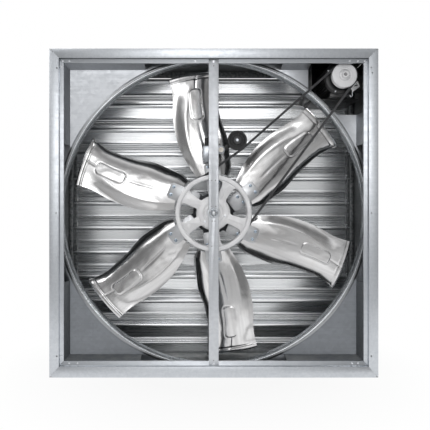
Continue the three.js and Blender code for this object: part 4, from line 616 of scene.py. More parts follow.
def build_casing():
    for side in ("top", "bottom", "left", "right"):
        piece = dress("casing_" + side, 0.7, inner=inside_painted_shade_galvanised,
                      is_inner=is_top_step if side == "top" else is_inside_box)
        # The flange lies just behind the welds on its mitres
        for point in piece.data.vertices:
            if at_depth(point.co) < 0.9:
                point.co.y += WELD_STAND / 1000
    screws = {
        "casing_top": [(-610, 642.5), (610, 642.5), (575, 642.5), (-78, 642.5), (-638, 642.5), (638, 642.5)],
        "casing_left": [(-642, 618), (-642, -604)],
        "casing_right": [(642, 618), (642, 590), (642, -604)],
        "casing_bottom": [(-610, -634.5), (610, -634.5), (585, -634.5), (-575, -634.5)],
    }
    for node, spots in screws.items():
        screw_row("lip_screws_" + node, spots, node, LIP_FACE, 3.4)
    punched_holes("flange_holes_left", [(-658, 608), (-661, 0), (-658, -600)], "casing_left", 0.4)
    punched_holes("flange_holes_right", [(660, 610), (664, 588), (661, 0), (660, -600)], "casing_right", 0.4)
    # Weld along the inner part of each mitre, and at its outer end a thin dark slab for the open notch, painted
    # shade.
    for level, sign_z, flange in (("top", 1, 40), ("bottom", -1, 46)):
        for side, sign_x in (("left", -1), ("right", 1)):
            bead = []
            for k in range(30):
                t = 1 - 0.66 * k / 29
                bead.append(moved(lathe([(0, 0.02), (0.8, 0.1), (1.2, 0.45), (0, 0.5)], 10),
                                  x=sign_x * (BOX_HALF - 40 * t), z=sign_z * (BOX_HALF - flange * t)))
            corner, carrier = level + "_" + side, "casing_" + level
            make("corner_weld_" + corner, together(*bead), carrier, crease=60)
            x, z = sign_x * (BOX_HALF - 5), sign_z * (BOX_HALF - 3.6)
            near, far = x - sign_x * 5.5, x + sign_x * 3.5
            outline = [(near, z - 1.6), (far, z - 1.6), (far, z + 1.6), (near, z + 1.6)]
            make("corner_notch_" + corner, slab([rounded(outline, 1.2)], 0.22, 0.5), carrier, slot="dark_steel")


# Pan walls between lip and plate take darker copies of the sheet: painted shade under the lips
def is_pan_wall(centre, normal):
    start, end = PAN_WALL_DEPTHS
    return abs(normal.y) < 0.5 and start < at_depth(centre) < end


def build_corner_plates():
    for name in ("top_left", "motor_upper", "motor_lower", "bottom_left", "bottom_right"):
        # The lower plates take a much darker copy of the sheet: painted shade on the lower half of the front
        if name.startswith("bottom"):
            dress("corner_plate_" + name, 0.5, lower_plate_painted_shade_galvanised, recess_painted_shade_galvanised, is_pan_wall)
        else:
            dress("corner_plate_" + name, 0.5, plate_galvanised, pan_wall_painted_shade_galvanised, is_pan_wall)


def build_bars():
    bar = dress("front_bar", 0.5, bar_galvanised)
    # The bar's folded edges swell a little past its flat width
    for point in bar.data.vertices:
        point.co.x *= BAR_SWELL
    dress("rear_bar", 0.8)
    screw_row("front_bar_screws", [(0, 640), (0, -638)], "front_bar", BAR_FACE, 4.4)
    holes = [(0, 621), (-8, 138), (8, 138), (-9, 28), (9, 28), (-6, -34), (5, -34), (-8, -140), (0, -622)]
    punched_holes("front_bar_holes", holes, "front_bar", BAR_FACE, 1.9)
    nut = lathe([(9, 3.4), (9.4, 2.6), (10.6, 2.2), (11.8, 3.4), (12.4, 5.4), (12.4, 11.8), (9, 11.8)], 6)
    make("front_nut", turned(nut, 0.2), "axle_nut_front", True, finish=nut_grey_zinc, crease=22)
    turn_out("front_washer", "axle_nut_front", [
        (9, 11.6), (13.2, 11.6), (15.2, 8.2), (17.6, 8.0), (20.0, 11.4), (21.2, 13.4), (21.2, 14.4), (9, 14.4),
    ], [0, 0.8, 1.6, 1.6, 1.2, 0.3, 0, 0], 64, finish=ring_bright, crease=40)
    dress("axle_nut_rear", 0.5)
    threads = [(0, 0.8), (5.2, 0.8), (6.6, 1.5)]
    for k in range(17):
        threads += [(7.9, 2.0 + k), (7.3, 2.5 + k)]
    threads += [(7.9, 18), (12.2, 18), (12.5, 18.4), (12.5, 318.4), (8, 318.7), (8, 335.6), (0, 336)]
    centre_mark = lathe([(0, 0.72), (1.9, 0.72), (1.9, 0.95), (0, 0.95)], 20)
    make("axle_with_thread", together(lathe(threads, 32), centre_mark), "axle", True, crease=28)


build_casing()
build_corner_plates()
build_bars()


# ---------------------------------------------------------------- inlet ring

def build_ring():
    lip = [(684, 90.0), (683.4, 88.4), (681, 87.2), (677, 86.3), (673, 85.7), (671.4, 86.2)]
    bead = [(671.2, 86.3)]
    for k in range(8, 173, 11):
        angle = math.radians(k)
        bead.append((666.6 + 4.2 * math.cos(angle), 86.6 - 4.9 * math.sin(angle)))
    throat = [(662.2, 87.0)]
    for k in range(1, 9):
        angle = math.pi / 2 * k / 8
        throat.append((657 + 4.9 * (1 - math.sin(angle)), 100 - 12.6 * math.cos(angle)))
    throat += [(657, 106), (657.9, 108), (657.9, 111), (657, 113), (657, 120.6)]
    # The lip and the throat take darker copies of the ring's metal than its bead: painted shade
    for name, line, finish in (("ring_flat_lip", lip, ring_lip_painted_shade), ("ring_rolled_bead", bead, ring_bright),
                               ("ring_throat", throat, ring_throat_painted_shade)):
        make(name, lathe(thick_line(line, -RING_SHEET), 220), "inlet_ring", line is lip, finish=finish, crease=50)


build_ring()


# ---------------------------------------------------------------- rotor

def pulley_window(start, end):
    """One opening between two spokes of the large pulley."""
    inner, outer = 70, 142.5

    def side(angle, sign, radii):
        line = []
        for radius in radii:
            half = 20 + 8 * ((radius - inner) / (outer - inner)) ** 2
            at = angle + sign * math.asin(half / radius)
            line.append((radius * math.cos(at), radius * math.sin(at)))
        return line

    def sweep(radius, near, far, steps):
        """The rounded end of the opening, without its outermost points."""
        first = math.atan2(near[1], near[0])
        return arc(radius, first, first + (math.atan2(far[1], far[0]) - first) % TURN, steps)[2:-2]

    radii = (inner, 90, 106, 122, outer)
    first, last = side(start, 1, radii), side(end, -1, radii[::-1])
    rim, hub = sweep(outer, first[-1], last[0], 12), sweep(inner, first[0], last[-1], 6)[::-1]
    line = first + rim + last + hub
    bends = [0.0] * len(line)
    for corner, bend in ((0, 15), (4, 17), (5 + len(rim), 17), (len(line) - len(hub) - 1, 15)):
        bends[corner] = bend
    return rounded(line, bends, 6)


def build_large_pulley():
    turn_out("large_pulley_rim", "fan_pulley", [
        (142.5, 65.5), (163, 65.5), (163, 63.3), (147, 56.5), (147, 47.5), (163, 40.7), (163, 39.2), (160, 38.5),
        (147, 38.5), (142.5, 42.5),
    ], [1, 1, 0.6, 1, 1, 0.6, 0.5, 1, 1.6, 1], 180, replaces=True, crease=40)
    turns = [math.radians(a) for a in (61.5, 150, 209, 273, 339, 421.5)]
    windows = [pulley_window(a, b) for a, b in zip(turns, turns[1:])]
    make("large_pulley_web", slab([circle(144.5, 120)] + windows, 43, 55), "fan_pulley", edge=1.2, crease=40)
    turn_out("large_pulley_hub", "fan_pulley", [
        (26.3, 39.6), (30, 38.5), (39, 38.5), (39.4, 46), (43, 46), (44, 41.2), (65, 41.2), (65, 60), (44, 60),
        (44, 90.7), (75, 90.7), (75, 99.7), (42, 99.7), (42, 149.7), (26.3, 149.7),
    ], [0.8, 1.5, 2.6, 0.6, 0.6, 1.4, 2.0, 0.8, 0.8, 1, 1.5, 0.5, 0.5, 1, 1], crease=40)
    rib = slab([arc(3.6, math.pi / 2, 1.5 * math.pi, 8, (72, 0)) + arc(3.6, -math.pi / 2, math.pi / 2, 8, (136, 0))],
               41.3, 43.4)
    pad = slab([circle(9, 32, (118, 0))], 42.3, 43.4)
    for name, shell, angles, edge in (("ribs", rib, (339, 61.5), 0.9), ("pads", pad, (150, 209), 0.5)):
        shells = [turned(shell, math.radians(a)) for a in angles]
        make("large_pulley_spoke_" + name, together(*shells), "fan_pulley", edge=edge, crease=40)
    bolts = [hex_head(52 * math.cos(math.radians(a)), 52 * math.sin(math.radians(a)), 41, 3.4, 4.6, a)
             for a in (-14, 106, 226)]
    make("large_pulley_hub_bolts", together(*bolts), "fan_pulley", slot="bright_zinc", crease=25)
    turn_out("bearing_seal_front", "bearing_front", [(13.2, 38.9), (25.9, 38.9), (25.9, 40.2), (13.2, 40.2)], 0.3, 64,
             slot="bright_zinc")
    for node in ("bearing_front", "bearing_rear"):
        dress(node, 0.4)


# Along the blade, across it at its leading edge, ridge and trailing edge, and how deep each of these is,
# as shares of the rotor's radius and of the blade's depth
BLADE_DEPTH = 130
BLADE_SHARES = (
    (0.28, 0.079, -0.110, -0.157, 0.085, 0.000, 0.408),
    (0.35, 0.110, -0.126, -0.189, 0.069, 0.000, 0.600),
    (0.44, 0.143, -0.135, -0.198, 0.038, 0.031, 0.762),
    (0.55, 0.172, -0.151, -0.195, 0.015, 0.085, 0.854),
    (0.66, 0.181, -0.150, -0.159, 0.000, 0.154, 0.838),
    (0.76, 0.176, -0.142, -0.145, -0.008, 0.215, 0.769),
    (0.88, 0.162, -0.139, -0.143, 0.000, 0.254, 0.654),
    (1.00, 0.172, -0.150, -0.187, 0.023, 0.269, 0.500),
)


def blade_share(column, along):
    """A value between the rows of the table, on a smooth curve through them."""
    last = len(BLADE_SHARES) - 1
    i = next((k for k, row in enumerate(BLADE_SHARES) if row[0] >= along), last)
    i = max(i - 1, 0)

    def slope_at(row):
        low, high = max(row - 1, 0), min(row + 1, last)
        return ((BLADE_SHARES[high][column] - BLADE_SHARES[low][column])
                / (BLADE_SHARES[high][0] - BLADE_SHARES[low][0]))

    span = BLADE_SHARES[i + 1][0] - BLADE_SHARES[i][0]
    t = (along - BLADE_SHARES[i][0]) / span
    rise = BLADE_SHARES[i + 1][column] - BLADE_SHARES[i][column]
    ease = t * t * (3 - 2 * t)
    return (BLADE_SHARES[i][column] + rise * ease
            + span * (slope_at(i) * t * (1 - t) ** 2 - slope_at(i + 1) * t * t * (1 - t)))


def blade_section(along):
    return [blade_share(column, along) for column in range(1, 7)]


def blade_front(along, across, section):
    lead, ridge, trail, lead_deep, ridge_deep, trail_deep = section
    weights = ((1 - across) ** 2, 4 * across * (1 - across), across * across)
    total = sum(weights)
    offset = (weights[0] * lead + weights[1] * ridge + weights[2] * trail) / total * ROTOR_RADIUS
    deep = (weights[0] * lead_deep + weights[1] * ridge_deep + weights[2] * trail_deep) / total * BLADE_DEPTH
    distance = along * ROTOR_RADIUS * (1 - 0.03 * (1 - across))
    return Vector((math.sqrt(distance * distance - offset * offset), deep, offset))


def blade_along(i, steps):
    """The share of the rotor's radius that station i of the blade lies at."""
    root = BLADE_SHARES[0][0]
    return root + (1 - root) * i / steps


def blade_setback():
    """How far back the blade stands, so that its root lies under the bracket."""
    seated = []
    for i in range(11):
        along = blade_along(i, 10)
        for j in range(8):
            point = blade_front(along, j / 7, blade_section(along))
            if point.x < 218 and abs(point.z + 24) < 35:
                seated.append(point.y)
    return SEAT_DEPTH - min(seated)


def soft_step(value, low, high):
    t = min(max((value - low) / (high - low), 0), 1)
    return t * t * (3 - 2 * t)


def pressed_height(x, z):
    """How far the press stands the sheet out towards the front: a rounded panel on a crease, and a fold below it."""
    crease_z = 9 - (0.0004 if x < 470 else 0.0010) * (x - 470) ** 2
    across = z - crease_z
    along = x - 484
    corner = Vector((max(abs(along) - 50, 0), max(abs(across) - 8, 0))).length - 17
    panel = 1 - soft_step(corner, -2.0, 2.0)
    gutter = math.exp(-((corner - 3.0) / 2.4) ** 2)
    beyond = soft_step(corner, 1, 7)
    root_end = soft_step(x, 222, 300)
    width = 3.4 if x > 484 else 6.5
    depth = 1.9 if x > 484 else 1.6 * math.sin(math.pi * min(max((x - 222) / 190, 0), 1)) ** 0.5
    groove = math.exp(-(across / width) ** 2) * beyond * root_end
    # The sheet folds back beyond a long bow that runs from the root past the panel
    bow = 66 - 0.0011 * (x - 360) ** 2
    folded = soft_step(z - bow, -3, 52) * soft_step(x, 190, 260) * (1 - soft_step(x, 500, 600))
    ridge = math.exp(-((z - bow) / 7) ** 2) * soft_step(x, 200, 280) * (1 - soft_step(x, 440, 540))
    return 2.4 * panel - 0.8 * gutter - depth * groove - 13.0 * folded + 1.4 * ridge


def blade_shell(steps_along, steps_across):
    setback = blade_setback()
    front = []
    for i in range(steps_along + 1):
        along = blade_along(i, steps_along)
        section = blade_section(along)
        front.append([blade_front(along, j / steps_across, section) for j in range(steps_across + 1)])
    skins, rears = [], []
    for i in range(steps_along + 1):
        reach = i / steps_along
        tip = soft_step(reach, 0.955, 0.966)
        rim_groove = 1.3 * math.exp(-((reach - 0.950) / 0.007) ** 2)
        rim_roll = 2.2 * soft_step(reach, 0.985, 1.0)
        hem = 1.9 * tip - rim_groove - rim_roll
        for j in range(steps_across + 1):
            base = front[i][j]
            outward = front[min(i + 1, steps_along)][j] - front[max(i - 1, 0)][j]
            trailing = front[i][min(j + 1, steps_across)] - front[i][max(j - 1, 0)]
            normal = outward.cross(trailing).normalized()
            if normal.y <= 0:
                normal = -normal
            wave = noise.noise(Vector((base.x * 0.011, base.z * 0.016, 2.7))) * 1.3
            wave += noise.noise(Vector((base.x * 0.034, base.z * 0.05, 9.1))) * 0.35
            stand = pressed_height(base.x, base.z) + wave
            share = j / steps_across
            back = 12.0 * soft_step(share, 0.875, 1.02) + 3.5 * (1 - soft_step(share, 0.0, 0.06))
            bead = 1.0 * math.exp(-((share - 0.865) / 0.014) ** 2)
            stand = stand * (1 - tip * 0.7) - back * (1 - tip * 0.6) + bead
            for skin, height in ((skins, stand + hem), (rears, stand - 1.5 - 2.0 * tip)):
                point = base - normal * height
                skin.append((point.x, point.y + setback, point.z))
    columns, total = steps_across + 1, len(skins)
    faces = []
    for i in range(steps_along):
        for j in range(steps_across):
            a, b = i * columns + j, (i + 1) * columns + j
            faces.append((a, b, b + 1, a + 1))
            faces.append((a + total, a + 1 + total, b + 1 + total, b + total))
    last_row = steps_along * columns
    for a in range(0, last_row, columns):
        b, c, d = a + columns, a + steps_across, a + columns + steps_across
        faces += [(a, a + total, b + total, b), (c, d, d + total, c + total)]
    for a in range(steps_across):
        b, c, d = a + 1, last_row + a, last_row + a + 1
        faces += [(a, b, b + total, a + total), (c, c + total, d + total, d)]
    return skins + rears, faces


def lay_length_map(mesh, angle):
    """Lays the blade's map along and across its own length."""
    cos, sin = math.cos(angle), math.sin(angle)
    layer = mesh.uv_layers.new(name=BLADE_LENGTH_MAP)
    for loop in mesh.loops:
        point = mesh.vertices[loop.vertex_index].co
        x, z = point.x, point.z - BOX_HALF / 1000
        layer.uv[loop.index].vector = (x * cos + z * sin + angle, z * cos - x * sin)


def build_blades():
    shell = blade_shell(190, 104)
    spots = [(202, -42), (202, -6), (134, -44), (128, -10)]
    washer = lathe(rounded([(0, 95.5), (7.4, 95.5), (7.4, 96.4), (0, 96.4)], [0, 0.4, 0, 0]), 24)
    rivets = [rivet(x, z, BRACKET_FACE, 5.6, 4.2) for x, z in spots]
    rivets += [moved(washer, x=x, z=z) for x, z in spots]
    for k in range(6):
        angle = math.radians(FIRST_BLADE_DEGREES + 60 * k)
        blade, bracket = "blade_%d" % (k + 1), "blade_bracket_%d" % (k + 1)
        piece = make("pressed_" + blade, turned(shell, angle), blade, True, crease=50)
        lay_length_map(piece.data, angle)
        dress(bracket, 0.5, grey_galvanised)
        make("bracket_rivets_%d" % (k + 1), turned(together(*rivets), angle), bracket, slot="bright_zinc",
             finish=rivet_blue_zinc, crease=30)
    # The star plate is near black: painted shade seen through the pulley's windows
    dress("blade_spider", 0.6, star_plate_painted_shade)


build_large_pulley()
build_blades()


# ---------------------------------------------------------------- belt, motor and tensioner

def belt_run(circle_a, circle_b):
    """The angle of the left-hand normal of a straight run from one circle to the next."""
    (ax, az, a_radius, a_side), (bx, bz, b_radius, b_side) = circle_a, circle_b
    distance = math.hypot(bx - ax, bz - az)
    return math.atan2(bz - az, bx - ax) + math.acos((a_side * a_radius - b_side * b_radius) / distance)


def build_belt():
    # Each wheel's middle, the belt's radius on it, and 1 where the belt's inner side or -1 where its back runs on it
    circles = [(0, 0, 152, 1), (*IDLER_MIDDLE, 41.9, -1), (*MOTOR_MIDDLE, 52, 1)]
    stations = []
    for i, wheel in enumerate(circles):
        x, z, radius, side = wheel
        arriving = belt_run(circles[i - 1], wheel)
        leaving = belt_run(wheel, circles[(i + 1) % 3])
        turn = (side * (arriving - leaving)) % TURN
        steps = max(math.ceil(turn / math.radians(3)), 3)
        for k in range(steps + 1):
            angle = arriving - side * turn * k / steps
            out = (math.cos(angle), math.sin(angle))
            stations.append((x + out[0] * side * radius, z + out[1] * side * radius, out))
    # The straight runs get stations too
    filled = []
    for (x, z, out), (next_x, next_z, _) in zip(stations, stations[1:] + stations[:1]):
        pieces = max(int(math.hypot(next_x - x, next_z - z) // 14), 1)
        for k in range(pieces):
            filled.append((x + (next_x - x) * k / pieces, z + (next_z - z) * k / pieces, out))
    # Half widths of the belt's back and of its narrow inner side
    top, bottom = 8.5, 8.5 - 9.4 * math.tan(math.radians(20))
    section = rounded([(4.6, -top), (4.6, top), (-4.8, bottom), (-4.8, -bottom)], [1.3, 1.3, 0.8, 0.8])

    def lay(a, b, station):
        x, z, out = station
        return x + out[0] * a, BELT_PLANE + b, z + out[1] * a

    make("wrapped_v_belt", run(section, filled, lay, closed=True), "v_belt", True, crease=55)


def build_motor():
    mx, mz = MOTOR_MIDDLE
    turn_out("motor_pulley_turned", "motor_pulley", [
        (8, 25.2), (13, 25.2), (15.5, 28), (16, 34.5), (21.5, 35.6), (24.5, 41.8), (50.5, 40.6), (53, 41.6),
        (53.4, 43), (49, 46.5), (45.5, 47.5), (45.5, 56.5), (49, 58), (53.4, 61.5), (53.4, 64), (20, 64), (20, 70),
        (12.3, 70), (12.3, 27.6), (8, 27.6),
    ], [0.3, 1.0, 1.0, 1.2, 1.5, 1.6, 1, 0.5, 0.3, 0.3, 0.8, 0.8, 0.3, 0.6, 1, 1, 1, 0.4, 0, 0],
        96, MOTOR_MIDDLE, True, crease=32)
    turn_out("motor_pulley_face_ring", "motor_pulley",
             [(30, 40.5), (31.5, 40.2), (33, 40.5), (33, 41.8), (30, 41.8)], 0.3, 72, MOTOR_MIDDLE, crease=32)
    set_screw = moved(lathe([(0, -1.2), (2.4, -1.2), (2.9, -0.6), (2.9, 1.5), (0, 1.5)], 6), mx + 19.6, 36.2, mz - 4)
    make("motor_pulley_set_screw", set_screw, "motor_pulley", slot="dark_steel", crease=25)
    turn_out("motor_shaft_turned", "motor_shaft", [
        (0, 27.9), (2.4, 27.9), (3.0, 26.6), (7.4, 26.2), (7.7, 27), (7.7, 28), (12, 28), (12, 112), (45, 112),
        (45, 266), (12, 266), (12, 296), (0, 296),
    ], 0, 48, MOTOR_MIDDLE, True, crease=30)
    # Cooling ribs run the length of the frame, but for its underside over the feet
    outline, count, trough = [], 44, 73.2
    for k in range(count):
        for part, radius in ((0.0, trough), (0.34, trough), (0.44, 77.8), (0.90, 77.8)):
            angle = TURN * (k + part) / count
            from_below = (angle + math.pi / 2) % TURN
            reach = trough if from_below < 0.62 or from_below > 5.66 else radius
            outline.append((mx + reach * math.cos(angle), mz + reach * math.sin(angle)))
    make("motor_frame_with_ribs", slab([outline, circle(48, 48, MOTOR_MIDDLE)], 92.3, 285.7), "motor_body", True,
         crease=30)
    feet = [block((mx - 50, mx + 50), (start, start + 40), (mz - 82, mz - 66)) for start in (92.3, 245.7)]
    make("motor_feet", together(*feet), "motor_body", edge=1.2)
    turn_out("motor_front_shield", "motor_front_cap",
             [(12.3, 78), (30, 78), (30, 82), (58, 82.6), (70, 83.4), (78, 89), (78, 92), (12.3, 92)],
             [0.5, 1.4, 1.2, 2, 3, 3, 0.5, 0.5], 96, MOTOR_MIDDLE, True, 4, crease=32)
    turn_out("motor_rear_shield", "motor_rear_cap",
             [(12.3, 286), (78, 286), (78, 293), (70, 299), (30, 300), (0, 300), (0, 296.3), (12.3, 296.3)],
             [0, 0.5, 3, 3, 1, 0, 0, 0], 96, MOTOR_MIDDLE, True, 4, crease=32)
    bolts = []
    for k in range(4):
        angle = math.radians(154 + 90 * k)
        bolts.append(hex_head(mx + 66 * math.cos(angle), mz + 66 * math.sin(angle), 84.2, 4.0, 3.6, k))
    make("motor_shield_bolts", together(*bolts), "motor_front_cap", slot="bright_zinc", crease=25)
    dress("terminal_box", 2.0)
    lid_screws = [block((mx + 119.2, mx + 119.95), (d - 3, d + 3), (mz + z - 3, mz + z + 3))
                  for d in (158, 222) for z in (-27, 27)]
    make("terminal_box_lid_screws", together(*lid_screws), "terminal_box", slot="dark_steel", edge=0.2)
    # The bracket's black box behind the motor is partly real and partly painted shade for the dark seen through the
    # cut-out
    dress("motor_bracket", 0.8)


def build_hook():
    span, start_x, start_z = 42, 35 + MOTOR_MIDDLE[0], -40 + MOTOR_MIDDLE[1]
    corners = [(start_x + x * span, start_z + z * span)
               for x, z in ((1, 0), (0.74, 0.62), (0.04, -0.18), (0.24, -0.56))]
    upper = corners[:3]
    middle = (sum(x for x, _ in upper) / 3, sum(z for _, z in upper) / 3)
    window = [(middle[0] + (x - middle[0]) * 0.48, middle[1] + (z - middle[1]) * 0.48) for x, z in upper]
    plate = slab([rounded(corners, 4, 4), rounded(window, 2)], 78.7, 81.7)
    make("motor_front_plate", plate, "hook_bracket", True, edge=0.5, finish=finish_of_slot["cast_aluminium"])
    x, z = corners[3]
    line = [(x - 1.5, 80.2, z + 6 - 4 * k) for k in range(6)]
    for k in range(1, 13):
        angle = -math.pi * 1.1 * k / 12
        line.append((x - 6.5 + 5 * math.cos(angle), 80.2, z - 15 + 6 * math.sin(angle)))
    make("motor_front_hook", wire(line, 2.1, 14), "hook_bracket", crease=50)


def build_tensioner():
    ix, iz = IDLER_MIDDLE
    turn_out("idler_wheel_moulded", "idler_wheel", [
        (5.3, 41.1), (17, 41.1), (19.5, 48.6), (30.5, 48.6), (33.5, 41.1), (41.6, 41.1), (41.6, 43.1), (36, 43.5),
        (36, 60.5), (41.6, 60.9), (41.6, 62.9), (5.3, 62.9),
    ], [0.5, 1.4, 1.4, 1.4, 1.4, 0.7, 0.6, 0.3, 0.3, 0.6, 0.7, 0.5], 84, IDLER_MIDDLE, True)
    spoke = block((ix + 17.5, ix + 32.5), (43.6, 49.6), (iz - 1.6, iz + 1.6))
    spokes = [turned(spoke, TURN * k / 6 + 0.3, IDLER_MIDDLE) for k in range(6)]
    make("idler_wheel_spokes", together(*spokes), "idler_wheel", edge=0.5)
    turn_out("idler_hub_disc", "idler_wheel", [(8, 40.7), (16.4, 40.7), (16.4, 41.4), (8, 41.4)], [0, 0.5, 0, 0], 60,
             IDLER_MIDDLE, slot="black_plastic", finish=finish_of_slot["belt_rubber"], crease=30)
    bolt = together(
        hex_head(ix, iz, 40.8, 5.0, 5.4, 0.3),
        lathe([(0, 40.8), (5, 40.8), (5, 74), (0, 74)], 24, IDLER_MIDDLE),
        lathe([(0, 73.5), (8.4, 73.5), (9, 74.2), (9, 77.8), (8.4, 78.5), (0, 78.5)], 6, IDLER_MIDDLE),
    )
    make("idler_bolt_and_nut", bolt, "idler_bolt", True, finish=nut_grey_zinc, crease=25)
    dress("tensioner_arm", 0.8)
    dress("tensioner_bracket", 0.6, nut_grey_zinc)
    turn_out("tensioner_boss_face", "tensioner_bracket",
             [(0, 36.3), (4, 36.3), (5, 35.6), (10.6, 35.2), (11.4, 36.2), (11.4, 37.0), (0, 37.0)],
             [0, 0.5, 0.5, 0.7, 0.3, 0, 0], 48, ARM_PIVOT, slot="bright_zinc", finish=boss_beige, crease=30)
    turns, steps, seat = 7, 28, 1.7
    low, high = SPRING_FOOT + seat, SPRING_TOP - seat
    line = []
    for k in range(turns * steps + 1):
        angle = TURN * k / steps
        line.append((SPRING_X + 7 * math.cos(angle), BELT_PLANE + 7 * math.sin(angle),
                     low + (high - low) * k / (turns * steps)))
    spring = make("tensioner_spring_wire", wire(line, 1.3, 10), "tensioner_spring", True, crease=60)
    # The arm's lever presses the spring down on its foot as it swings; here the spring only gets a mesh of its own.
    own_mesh(spring)


build_belt()
build_motor()
build_hook()
build_tensioner()


# ---------------------------------------------------------------- louvres

def leaf_line():
    """The leaf's section as depth and height from its pins: a curl, a flat, three soft ribs and a lap."""
    radius, rib = 10.4, 3.0
    neck, lap = -radius - rib, radius - LEAF_PITCH
    line = [(9.0, 5.2), (7.4, 7.8), (4.8, 9.6), (1.4, 10.4), (-2.4, 10.2), (-5.4, 9.4), (-7.6, 7.9), (-8.6, 5.8),
            (-9.1, 2.0), (-9.4, -2.2), (-9.2, -5.0), (-8.0, -7.2), (-5.8, -8.8), (-2.6, -9.9), (0.2, -10.9)]

    def sheet_depth(z):
        share = (neck - z) / (neck - lap)
        return rib + (12.4 - rib) * share

    line.append((sheet_depth(neck) - 0.2, neck))
    flat_end, ribs_end = -0.53 * LEAF_PITCH, -0.80 * LEAF_PITCH
    for k in range(1, 6):
        z = neck + (flat_end - neck) * k / 6
        line.append((sheet_depth(z), z))
    for k in range(25):
        share = k / 24
        z = flat_end + (ribs_end - flat_end) * share
        swell = math.sin(math.pi * 3 * share) ** 2
        line.append((sheet_depth(z) - rib * swell ** 0.8, z))
    for k in range(1, 4):
        z = ribs_end + (lap - ribs_end) * k / 4
        line.append((sheet_depth(z), z))
    line += [(12.4, lap), (13.0, lap - 9), (13.4, -LEAF_PITCH - 6), (13.6, -LEAF_PITCH - 10.5)]
    return line


def lever_shell(pivot_z):
    """The short arm and pin at a louvre's right end that the link rod turns on."""
    angle = math.radians(40)
    outline = arc(5, -math.pi / 2, math.pi / 2, 8) + arc(4.5, math.pi / 2, 1.5 * math.pi, 8, (-22, 0))
    cos, sin = math.cos(angle), math.sin(angle)
    tilted = [(LEAF_DEPTH + a * cos - b * sin, pivot_z - a * sin + b * cos) for a, b in outline]
    end = (LEAF_DEPTH - 22 * cos, pivot_z + 22 * sin)
    return together(run(tilted, [652, LEAF_HALF], lay_along_x), run(circle(3.5, 16, end), [652, 660.5], lay_along_x))


def build_louvres():
    section = thick_line(leaf_line(), LOUVRE_SHEET)
    spans = [-LEAF_HALF + 2 * LEAF_HALF * k / 54 for k in range(55)]
    plug = arc(8.0, math.radians(30), math.radians(250), 16)
    for number in range(11):
        node = "shutter_%02d" % (number + 1)
        pivot_z = FIRST_LEAF_Z - LEAF_PITCH * number

        def lay(depth, z, x, number=number, pivot_z=pivot_z):
            hang = min(max(-z / LEAF_PITCH, 0), 1)
            wobble = noise.noise(Vector((x * 0.0042, number * 3.1, z * 0.011))) * 1.1 * hang
            return x, LEAF_DEPTH + depth + wobble, pivot_z + z

        plugs = [run(plug, [a, a + 6], lay) for a in (-LEAF_HALF, LEAF_HALF - 6)]
        pin = circle(3.5, 20, (LEAF_DEPTH, pivot_z))
        pins = [run(pin, ends, lay_along_x) for ends in ((-676, -649), (649, 676))]
        make("louvre_leaf_%02d" % (number + 1), together(run(section, spans, lay), *plugs), node, True, crease=38)
        make("louvre_pins_%02d" % (number + 1), together(*pins, lever_shell(pivot_z)), node, slot="bright_zinc",
             crease=30, edge=0.4)
    # The frames, head rail and link rod take the same dark copy: painted shade inside the box
    for node in ("shutter_frame_left", "shutter_frame_right", "shutter_head_rail", "link_rod"):
        dress(node, 0.4, inside_painted_shade_galvanised)
    # A strip behind each end of the leaves keeps the light out. It wears the dark inside copy of the sheet, painted
    # shade.
    for side, left in (("left", -672.8), ("right", 656.5)):
        make("louvre_seal_" + side, block((left, left + 16.3), (387, 389), (-682, 674)), "shutter_frame_" + side,
             edge=0.3, finish=inside_painted_shade_galvanised)


build_louvres()


# ---------------------------------------------------------------- floor, light and camera

WHITE = (1, 1, 1, 1)
FLOOR_START = (0, 2.5, 0)
FLOOR_BELOW = 0.0015

# Light level by direction, from left to right and from below to above
FRONT_LIGHT_ACROSS = (
    (-1.0, 0.30), (-0.62, 0.20), (-0.44, 0.30), (-0.30, 0.74), (-0.12, 1.0),
    (0.12, 1.0), (0.30, 0.74), (0.45, 0.34), (0.70, 0.20), (1.0, 0.35),
)
FRONT_LIGHT_UPWARD = (
    (-1.0, 0.38), (-0.55, 0.30), (-0.40, 0.58), (-0.22, 0.95), (-0.05, 1.0),
    (0.10, 1.0), (0.42, 1.0), (0.55, 0.50), (0.70, 0.34), (1.0, 0.95),
)
BACK_LIGHT = 0.30

# Name, place, point that it is aimed at, size in metres and power in watts
SOFTBOXES = (
    ("softbox_above_camera", (-0.1, -3.0, 1.66), (0, 0, 0.95), 1.3, 9),
    ("softbox_high_left", (-2.4, -2.0, 3.2), (0, 0, 0.8), 1.6, 20),
    ("softbox_high_right", (2.6, -1.2, 2.8), (0, 0, 0.8), 1.0, 14),
    ("softbox_top", (0, 0.4, 3.4), (0, 0, 0.7), 1.8, 22),
)


def seen_rays(tree):
    """Masks of the rays that come from the camera and of those that a mirror or glass sends on."""
    rays = add(tree, "ShaderNodeLightPath").outputs
    return rays["Is Camera Ray"], combined(tree, "MAXIMUM", rays["Is Glossy Ray"], rays["Is Transmission Ray"])


